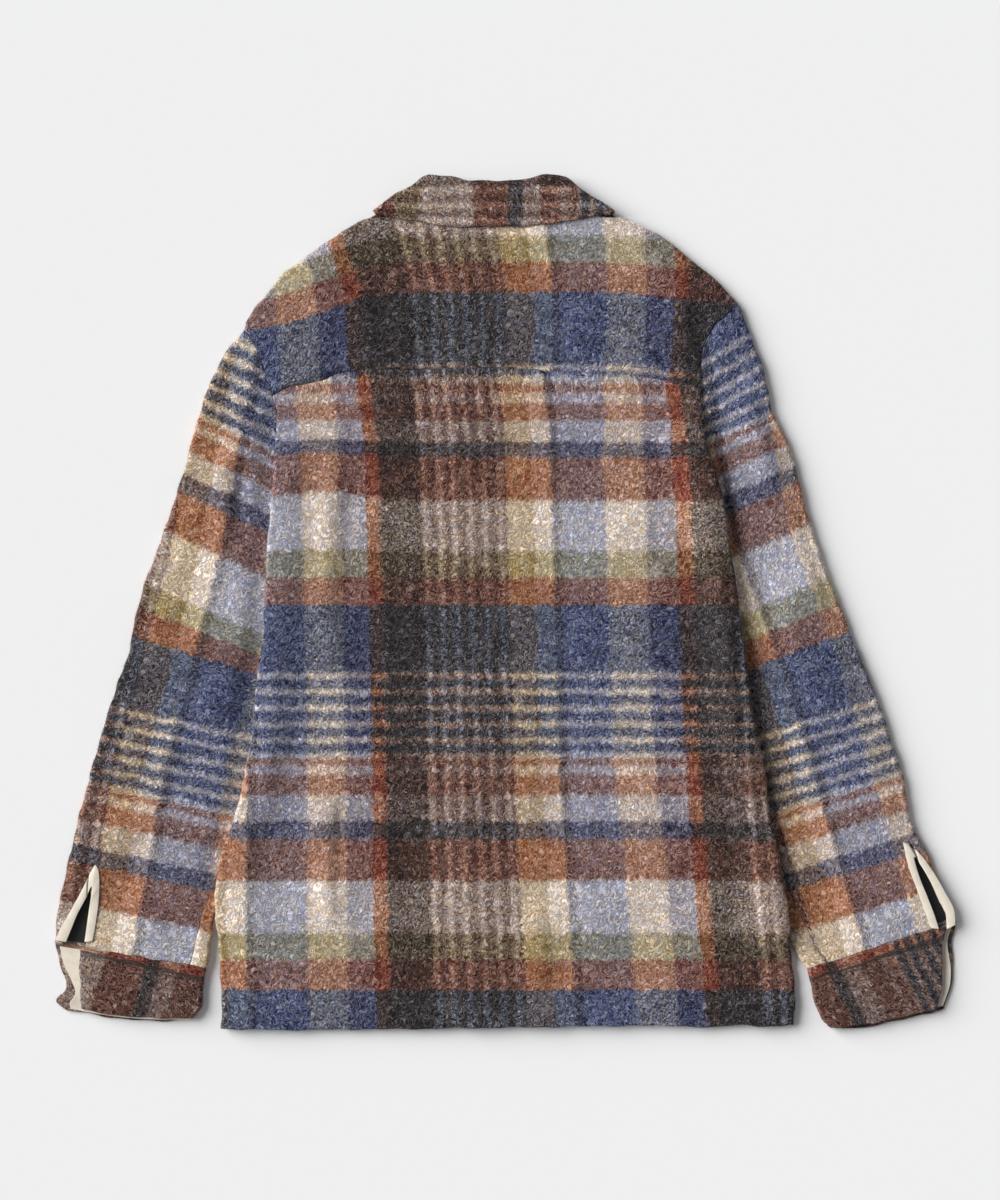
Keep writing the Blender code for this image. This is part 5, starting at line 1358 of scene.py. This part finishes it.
# %% How high the fronts lie
def front_floor(x, y):
    neck = ramp(205.0, 225.0, y) * (1 - ramp(130.0, 165.0, np.abs(x + 11.0)))
    along = ramp(BUTTON_Y[-1] - 50.0, BUTTON_Y[-1] - 14.0, y)
    button = along * (1 - ramp(15.0, 32.0, np.abs(x - centre_x(y))))
    return np.maximum(NECK_LIFT * neck, BUTTON_LIFT * button)


def arm_inset(arm, side, a):
    """Step from the armhole line into the body."""
    run = arm(min(a + 0.02, 1.0)) - arm(max(a - 0.02, 0.0))
    return unit((run[1], -run[0])) * side


def front_height(side, lapped, swell):
    def height(x, y):
        z = front_floor(x, y)
        inside = side * (tuck_x(side, y) - x)
        up = side_lift(side, y) * ramp(127.0, 119.5, y)
        z = z + (SIDE_LIFT[side] + 1.3 * ramp(110.0, 119.5, y)) * up * (1 - ramp(6.0, 20.0, inside))
        if lapped:
            z = z + PLACKET_LIFT * (1 - ramp(20.5, 40.0, side * (x - centre_x(y))))
        swells = np.maximum(0.0, swell_height(x, y, swell, 0.5))
        return z + swells * ramp(24.0, 60.0, side * (x - centre_x(y)))
    return height


# %% The two fronts
CORNER = 0.50            # share of a front's top edge that is shoulder; the rest is neck
FRONT_TOP_Y, FRONT_HEM_Y = 276.0, -382.0
ARM_STEPS = (0.93, 0.80, 0.66, 0.50, 0.38, 0.27, 0.17, 0.09, 0.030)     # shares of the armhole, upwards
# Columns beside the front edge and beside the side fold, in millimetres
EDGE_COLUMNS = np.array([58.0, 48.0, 38.5, 28.0, 18.0, 8.0, 4.0, 2.2, 1.4, 0.8, 0.35, 0.0])
FOLD_COLUMNS, TUCK_COLUMNS = np.array([10.0, 16.0, 31.0]), np.array([2.0, 6.5, 21.0])
CLOTH_SHIFT = 0.31       # where the fronts were cut across the warp repeat


def front(side, name, lapped, swell):
    neck, shoulder, arm = path(FRONT_NECK[side]), path(SHOULDER[side]), path(ARMHOLE[side])
    height = front_height(side, lapped, swell)
    table = [(float(side_x(side, y)), y, 1.0) for y in (FRONT_HEM_Y + 1.5,) + SIDE_Y[:-1]]
    table.append((float(side_x(side, 110.0)) - side * 2.0, 110.0, 1.0))
    last = ARMHOLE[side][-1]
    table.append((last[0] - side * 2.4, 119.5, 0.0))
    for a in ARM_STEPS:
        p = arm(a) + arm_inset(arm, side, a)
        table.append((float(p[0]), float(p[1]), 0.0))
    table = np.array(table)
    at = sample_rows(len(table), UNDER_PITCH, 640.0)
    lx, ly, rolled = (np.interp(at, np.arange(len(table)), table[:, i]) for i in range(3))
    g = (ly - table[0, 1]) / (table[-1, 1] - table[0, 1])
    ry = FRONT_HEM_Y + g * (FRONT_TOP_Y - FRONT_HEM_Y)
    lp, rp = np.stack([lx, ly], -1), np.stack([centre_x(ry) - side * PLACKET_HALF, ry], -1)
    g_top = ramp(0.55, 1.0, g)**1.3
    middle = np.linspace(0, 1, int(150 / UNDER_PITCH))
    right, wide = EDGE_COLUMNS, FOLD_COLUMNS
    left = np.concatenate([FOLD_STEPS, wide])
    width = np.hypot(*(rp - lp).T)
    w_top = column_shares(width[-1], left, middle, right)[0]
    corner_at, first_right = len(left) + 3, len(w_top) - len(right)
    neck_run = np.hypot(*np.diff(np.array(FRONT_NECK[side]), axis=0).T).sum()
    corner_shares = (CORNER, 1 - CORNER * right[0] / neck_run)
    w_edge = np.interp(np.arange(len(w_top)), (corner_at, first_right), corner_shares)
    w_edge[:corner_at] = w_top[:corner_at] * CORNER / w_top[corner_at]
    w_edge[first_right:] = 1 - CORNER * right / neck_run
    neck_edge = neck((w_edge - CORNER) / (1 - CORNER))
    edge = np.where((w_edge < CORNER)[:, None], shoulder(w_edge / CORNER), neck_edge)
    first_way = unit(arm(0.05) - arm(0.0))
    tangent = np.gradient(edge, axis=0)
    tangent /= np.hypot(*tangent.T)[:, None]
    ways = np.stack([tangent[:, 1], -tangent[:, 0]], -1) * -side
    for k in range(7):
        ways[k] = unit(first_way * (7 - k) + ways[k] * k)
    ways[-1] = (0.0, -1.0)
    share = 1 - ramp(CORNER - 0.12, CORNER - 0.02, w_edge)
    target = edge + ways * FOLD_R
    chord = lp[-1] + (rp[-1] - lp[-1]) * w_top[:, None]
    outer, inner = [], []
    turn = turn_of_columns(len(w_top), True)
    for k in range(len(at)):
        reach = max(6.0, side * float(lp[k, 0] - tuck_x(side, lp[k, 1])))
        below = 1 - float(ramp(108.0, 122.0, lp[k, 1]))
        left_k = np.concatenate([FOLD_STEPS, wide + (reach + TUCK_COLUMNS - wide) * below])
        w = column_shares(width[k], left_k, middle, right)[0]
        pts = lp[k] + (rp[k] - lp[k]) * w[:, None] + (target - chord) * g_top[k]
        out = (rp[k] - lp[k]) / width[k]
        tilt = turn * rolled[k]
        z = height(*xy(pts)) + rolled[k] * FRONT_R * (1 - np.cos(turn))
        outer.append(lifted(pts, z))
        q = pts + WALL * np.sin(tilt)[:, None] * out
        inner.append(lifted(q, z + WALL * np.cos(tilt)))
    roll_outer, roll_inner = rolled_edge(edge, ways, share, height, FRONT_R, -1)
    outer, inner = np.concatenate([outer, roll_outer]), np.concatenate([inner, roll_inner])
    cloth = body_cloth(*xy(outer))
    cloth[..., 0] = -side * cloth[..., 0] + CLOTH_SHIFT
    obj = sew("wool_" + name, outer, inner, cloth, [name])


front(-1, "front_left", False, 71)
front(1, "front_right", True, 73)

# %% [markdown]
# ## Slit tape and lining
# Each sleeve slit is bound with cream tape, folded over the raw wool and mitred at the top. The
# tape is drawn as two edges, an outer and an inner one, and laid on the sleeve by casting a ray
# down at each of its points. Through the slit the black satin lining shows.


# %% Laying a narrow strip on the cloth
def faces_of(*names):
    """A search tree over some sewn pieces, for finding the cloth's height."""
    corners, faces = [], []
    for name in names:
        mesh = wool_pieces[name].data
        start = len(corners)
        corners.extend(v.co.copy() for v in mesh.vertices)
        faces.extend(tuple(start + i for i in p.vertices) for p in mesh.polygons)
    return BVHTree.FromPolygons(corners, faces)


def height_on(tree, x, y, below=False):
    """Height in millimetres of the cloth at a place, from above or from the table."""
    start = Vector((*in_metres((x, y, 0.0))[:2], -0.05 if below else 0.1))
    hit = tree.ray_cast(start, Vector((0, 0, 1.0 if below else -1.0)))[0]
    return None if hit is None else hit.z * 1000.0


def fill_gaps(heights):
    """Heights where the ray missed the cloth are taken from their neighbours."""
    known = [k for k, h in enumerate(heights) if h is not None]
    return np.interp(np.arange(len(heights)), known, [heights[k] for k in known])


TAPE_WALL = 1.0
TAPE_EDGES = {
    "left": (((55.5, 940), (60, 930), (70, 912), (83, 888), (92, 870), (95.5, 865), (99, 872), (99.6, 884),
              (98.6, 902), (96, 922), (92.5, 941)),
             ((66, 942), (70.5, 931), (77.5, 914), (86, 898), (90, 889), (91.8, 886), (92, 888), (91.4, 895),
              (89.6, 906), (87.4, 922), (84.5, 942))),
    "right": (((931, 928), (925, 912), (917.5, 891), (909, 868), (904.5, 850), (903, 842), (909, 845),
               (917, 851), (930, 867), (945, 892), (955, 914), (955.5, 925)),
              ((939, 929), (934, 914), (927, 896), (919, 876), (914.5, 861), (913.6, 857), (915, 857),
               (920, 864), (929, 879), (938, 897), (946, 914), (947, 929))),
}


def lay_tape(tag, cloth_tree):
    outer_line, inner_line = ([from_photo(*p) for p in line] for line in TAPE_EDGES[tag])
    along = soft_places(70, 190.0)
    near, far = path(outer_line)(along), path(inner_line)(along)
    across = soft_places(5, 8.0)[None, :, None]
    plan = near[:, None] + (far - near)[:, None] * across
    z = np.zeros(plan.shape[:2])
    for j in range(plan.shape[1]):
        z[:, j] = fill_gaps([height_on(cloth_tree, x, y) for x, y in plan[:, j]])
    z = np.repeat(z.max(1)[:, None], z.shape[1], 1)
    puff = 0.35 * np.sin(math.pi * across[0, :, 0])[None]
    outer = lifted(plan, z + LAP + TAPE_WALL + puff)
    inner = lifted(plan, z + LAP)
    tape = sew("cream_slit_tape_" + tag, outer, inner, plan / 100, ["slit_binding_" + tag],
               tape_cloth, soft=False)


for tag in ("left", "right"):
    lay_tape(tag, faces_of("wool_sleeve_%s_upper" % tag))


# %% Black satin lining
def black_satin(name):
    """Viscose satin: near black, with a soft gloss along its floats."""
    finish, tree = new_finish(name)
    place = add(tree, "TexCoord").outputs["Object"]
    floats = add(tree, "TexWave", {"Vector": place, "Scale": 700.0, "Distortion": 2.0}, bands_direction="X")
    floats = floats.outputs["Fac"]
    black = add(tree, "MixRGB", {0: floats, 1: (*linear("#0B0B0D"), 1), 2: (*linear("#17171A"), 1)})
    bump = add(tree, "Bump", {"Height": floats, "Strength": 0.2, "Distance": 0.0002})
    satin = add(tree, "BsdfPrincipled", {"Base Color": black, "Roughness": 0.42, "Sheen Weight": 0.1,
                                         "Normal": bump})
    add(tree, "OutputMaterial", {"Surface": satin})
    return finish


satin = black_satin("black_viscose_satin")
for tag in ("left", "right"):
    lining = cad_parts["sleeve_lining_" + tag].data
    lining.materials.clear()
    lining.materials.append(satin)
    print(tag, "lining:", satin.name)

# %% [markdown]
# ## Loose fibres
# Brushing pulls fibre ends out of the yarn. They stand a millimetre or two off the cloth, and blur
# its outline against the table. Each is a thin tapered sliver that takes the cloth's colour at its
# root. Most are put on the folds, where they are seen against the table.

# %% Nap
FIBRE_LONG = (0.9, 2.6)      # millimetres, shortest and longest
FIBRE_WIDE = 0.13
FOLD_SHARE = 9.0             # how much likelier a fibre is on a fold than on the flat
FIBRES = 85000 if fine else 8000


def nap(name, count, seed):
    """Fibre ends standing on one sewn piece."""
    mesh = wool_pieces[name].data
    rng = np.random.default_rng(seed)
    total = len(mesh.polygons)
    centre, normal, area = np.empty(total * 3), np.empty(total * 3), np.empty(total)
    mesh.polygons.foreach_get("center", centre)
    mesh.polygons.foreach_get("normal", normal)
    mesh.polygons.foreach_get("area", area)
    uv = np.empty(total * 8)
    mesh.uv_layers["cloth"].data.foreach_get("uv", uv)
    centre, normal = centre.reshape(-1, 3) * 1000 + (*ORIGIN, 0), normal.reshape(-1, 3)
    uv = uv.reshape(-1, 4, 2)
    shown = area * (normal[:, 2] > -0.3) * (centre[:, 2] > 0.5)
    shown *= 1 + (FOLD_SHARE - 1) * (normal[:, 2] < 0.8)
    pick = rng.choice(total, count, p=shown / shown.sum())
    out = normal[pick]
    lean = rng.normal(size=(count, 3))
    lean -= out * (lean * out).sum(1)[:, None]
    lean /= np.linalg.norm(lean, axis=1)[:, None]
    way = out * rng.uniform(0.25, 0.9, count)[:, None] + lean
    way /= np.linalg.norm(way, axis=1)[:, None]
    across = np.cross(way, out)
    across /= np.linalg.norm(across, axis=1)[:, None]
    root = centre[pick] + lean * rng.uniform(0, 1.5, count)[:, None] - out * 0.1
    tip = root + way * rng.uniform(*FIBRE_LONG, count)[:, None]
    tip[:, 2] = np.maximum(tip[:, 2], 0.2)
    half = across * FIBRE_WIDE / 2
    points = np.stack([root - half, root + half, tip + half * 0.3, tip - half * 0.3], 1).reshape(-1, 3)
    cloth = np.repeat(uv[pick].mean(1), 4, 0)
    fibres = make_mesh("nap_" + name, points, np.arange(4 * count).reshape(-1, 4), plaid, cloth)
    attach(fibres, "root")
    return count


NAPPED = ("wool_back_panel", "wool_back_yoke", "wool_collar_leaf", "wool_cuff_left", "wool_cuff_right",
          "wool_sleeve_left_upper", "wool_sleeve_left_under", "wool_sleeve_right_upper",
          "wool_sleeve_right_under")
sizes = {name: sum(p.area for p in wool_pieces[name].data.polygons) for name in NAPPED}
for seed, name in enumerate(NAPPED):
    print(name, "fibres", nap(name, int(FIBRES * sizes[name] / sum(sizes.values())), 900 + seed))

# %% [markdown]
# ## Topstitching
# Machine stitches hold the collar edge, cuffs, yoke and hem. The wool nearly swallows them, so
# each line is a shallow groove in the cloth with short dark stitches lying in it. Every stitch is
# a small rounded rod, 2.5 millimetres long, set on the cloth by the same ray.


# %% Dark polyester thread
def dark_thread(name):
    """Polyester thread: two plies with a low shine."""
    finish, tree = new_finish(name)
    place = add(tree, "TexCoord").outputs["Object"]
    ply = add(tree, "TexWave", {"Vector": place, "Scale": 900.0, "Distortion": 1.0},
              bands_direction="DIAGONAL").outputs["Fac"]
    brown = add(tree, "MixRGB", {0: ply, 1: (*linear("#241E1E"), 1), 2: (*linear("#4A3F3B"), 1)})
    thread = add(tree, "BsdfPrincipled", {"Base Color": brown, "Roughness": 0.6})
    add(tree, "OutputMaterial", {"Surface": thread})
    return finish


thread = dark_thread("dark_polyester_thread")

# %% Stitches along a line
STITCH, STITCH_GAP, THREAD_R = 2.5, 0.9, 0.34
ROD_TURNS = np.radians(np.arange(0, 360, 60))
ROD_RINGS = ((-0.5, 0.25), (-0.36, 1.0), (0.0, 1.15), (0.36, 1.0), (0.5, 0.25))
THREAD_SINK, THREAD_UNDER = -0.12, 0.32     # the thread's height from the cloth, seen from above and below


def stitch_rods(line, cloth_tree, below=False):
    """Points and faces of the stitches along a curve."""
    fine_line = path(line)(np.linspace(0, 1, 400))
    run = np.concatenate([[0.0], np.cumsum(np.hypot(*np.diff(fine_line, axis=0).T))])
    points, faces = [], []
    sides = len(ROD_TURNS)
    for s in np.arange(STITCH, run[-1] - STITCH, STITCH + STITCH_GAP):
        ends = [np.array([np.interp(s + e * STITCH, run, fine_line[:, k]) for k in (0, 1)])
                for e in (-0.5, 0.5)]
        heights = [height_on(cloth_tree, *p, below) for p in ends]
        if None in heights:
            continue
        a, b = (np.array([*p, h + (THREAD_UNDER if below else THREAD_SINK)]) for p, h in zip(ends, heights))
        way = (b - a) / np.linalg.norm(b - a)
        side = np.array([-way[1], way[0], 0.0])
        side /= np.linalg.norm(side)
        up = np.cross(way, side)
        start = len(points)
        for t, r in ROD_RINGS:
            for turn in ROD_TURNS:
                out = (side * math.cos(turn) + up * math.sin(turn)) * r * THREAD_R
                points.append((a + b) / 2 + way * t * STITCH + out)
        for ring in range(len(ROD_RINGS) - 1):
            for k in range(sides):
                n = (k + 1) % sides
                base = start + ring * sides
                faces.append((base + k, base + n, base + sides + n, base + sides + k))
        for base in (start, start + (len(ROD_RINGS) - 1) * sides):
            faces.append((base, base + 1, base + 2, base + 3))
            faces.append((base, base + 3, base + 4, base + 5))
    return points, faces


def sew_line(name, lines, on, below=False):
    cloth_tree = faces_of(*on)
    points, faces = [], []
    for line in lines:
        more_points, more_faces = stitch_rods(line, cloth_tree, below)
        faces.extend(tuple(len(points) + i for i in face) for face in more_faces)
        points.extend(more_points)
    obj = make_mesh(name, np.array(points), np.array(faces), thread)
    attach(obj, "root")
    print(name, "stitches", len(points) // (len(ROD_RINGS) * len(ROD_TURNS)))
    return obj


def photo_line(pixels):
    return [from_photo(*p) for p in pixels]


# %% Where the stitches run
CUFF_STITCH = {"left": ((84, 952), (104, 956.5), (140, 963.5), (170, 969.5), (199, 974)),
               "right": ((812, 979), (830, 971), (862, 961), (895, 951), (925, 941), (938, 936))}
yoke_run = [(x, float(yoke_seam_y(x)) + 7.0) for x in np.linspace(-196, 164, 13)]
sew_line("stitches_hem", [photo_line(HEM_STITCH[1:-1])], ["wool_back_panel"])
sew_line("stitches_collar", [photo_line(COLLAR_STITCH)], ["wool_collar_leaf"])
sew_line("stitches_yoke", [yoke_run], ["wool_back_yoke"])
for tag in ("left", "right"):
    sew_line("stitches_cuff_" + tag, [photo_line(CUFF_STITCH[tag])], ["wool_cuff_" + tag])
FRONT_STITCH_Y = np.linspace(270.0, -360.0, 15)
placket_run = [(float(centre_x(y)) + PLACKET_HALF - 32.0, y) for y in FRONT_STITCH_Y]
edge_run = [(float(centre_x(y)) + PLACKET_HALF - 3.0, y) for y in FRONT_STITCH_Y]
front_hems = [[(x, -358.0) for x in np.linspace(first, last, 9)] for first, last in ((-235, -20), (28, 238))]
sew_line("stitches_fronts", [placket_run, edge_run, *front_hems], ["wool_front_left", "wool_front_right"],
         below=True)

# %% [markdown]
# ## Buttons
# Five horn buttons close the placket, and lie against the table. Each is turned: a raised rim
# round a shallow dish, with four holes and thread crossing between them. The mesh is a turned
# profile whose dish sinks at the four holes.


# %% Polished horn buttons
def polished_horn(name):
    """Horn: dark brown with cloudy paler streaks, polished."""
    finish, tree = new_finish(name)
    place = add(tree, "TexCoord").outputs["Object"]
    cloud = add(tree, "TexNoise", {"Vector": place, "Scale": 160.0, "Detail": 4.0, "Distortion": 1.4})
    streak = add(tree, "ValToRGB", {"Fac": cloud.outputs["Fac"]})
    fill_ramp(streak, [(0.3, linear("#1C100A")), (0.52, linear("#3B2415")), (0.75, linear("#7A5433"))])
    scratch = add(tree, "TexNoise", {"Vector": place, "Scale": 2500.0}).outputs["Fac"]
    rough = add(tree, "MapRange", {"Value": scratch, "To Min": 0.22, "To Max": 0.4})
    horn = add(tree, "BsdfPrincipled", {"Base Color": streak, "Roughness": rough, "IOR": 1.55})
    add(tree, "OutputMaterial", {"Surface": horn})
    return finish


horn = polished_horn("polished_horn")

# %% Turned buttons
HOLE_R, HOLE_OFF, RIM_WIDE, DISH, EDGE_R = 1.15, 1.9, 1.9, 0.55, 0.6


def disc_mesh(name, points, faces, finish):
    """A mesh whose faces close up to triangles at the middle."""
    loops = [list(dict.fromkeys(face)) for face in faces.tolist()]
    used = sorted({i for face in loops for i in face})
    place = {old: new for new, old in enumerate(used)}
    mesh = bpy.data.meshes.new(name)
    loops = [[place[i] for i in face] for face in loops]
    mesh.from_pydata([tuple(p) for p in in_metres(points[used])], [], loops)
    return place_mesh(name, mesh, finish)


def button(number, y):
    edge = BUTTON_R - EDGE_R * np.cos(np.radians((30, 60, 90)))
    rings = np.concatenate([np.linspace(0.0, BUTTON_R - EDGE_R, 34), edge])
    turns = np.radians(np.arange(0, 360, 5))
    r, a = rings[:, None] + 0 * turns, turns[None] + 0 * rings[:, None]
    bx, by = r * np.cos(a), r * np.sin(a)
    edge_turn = EDGE_R * (1 - np.sqrt(1 - np.clip((r - BUTTON_R + EDGE_R) / EDGE_R, 0, 1)**2))
    face = DISH * (1 - ramp(BUTTON_R - RIM_WIDE - 1.0, BUTTON_R - RIM_WIDE + 0.4, r))
    face = face + edge_turn
    for sx, sy in ((1, 1), (1, -1), (-1, 1), (-1, -1)):
        away = np.hypot(bx - sx * HOLE_OFF, by - sy * HOLE_OFF)
        face = face + 1.2 * ramp(HOLE_R + 0.15, HOLE_R - 0.25, away)
    back_face = BUTTON_T - edge_turn
    x0 = float(centre_x(y))
    low = np.stack([bx + x0, by + y, face], -1)
    high = np.stack([bx + x0, by + y, back_face], -1)
    grid = np.concatenate([low, high[::-1]])
    grid = np.concatenate([grid, grid[:, :1]], 1)
    rows, cols = grid.shape[:2]
    number_of = np.arange(rows * cols).reshape(rows, cols)
    number_of[:, -1] = number_of[:, 0]
    number_of[0, :], number_of[-1, :] = number_of[0, 0], number_of[-1, 0]
    faces = np.stack([number_of[:-1, :-1], number_of[:-1, 1:], number_of[1:, 1:], number_of[1:, :-1]], -1)
    obj = disc_mesh("horn_button_%d" % number, grid.reshape(-1, 3), faces.reshape(-1, 4), horn)
    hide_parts("front_button_%d" % number)
    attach(obj, "root")
    return obj


for number, y in enumerate(BUTTON_Y, 1):
    button(number, y)
print("buttons", len(BUTTON_Y))
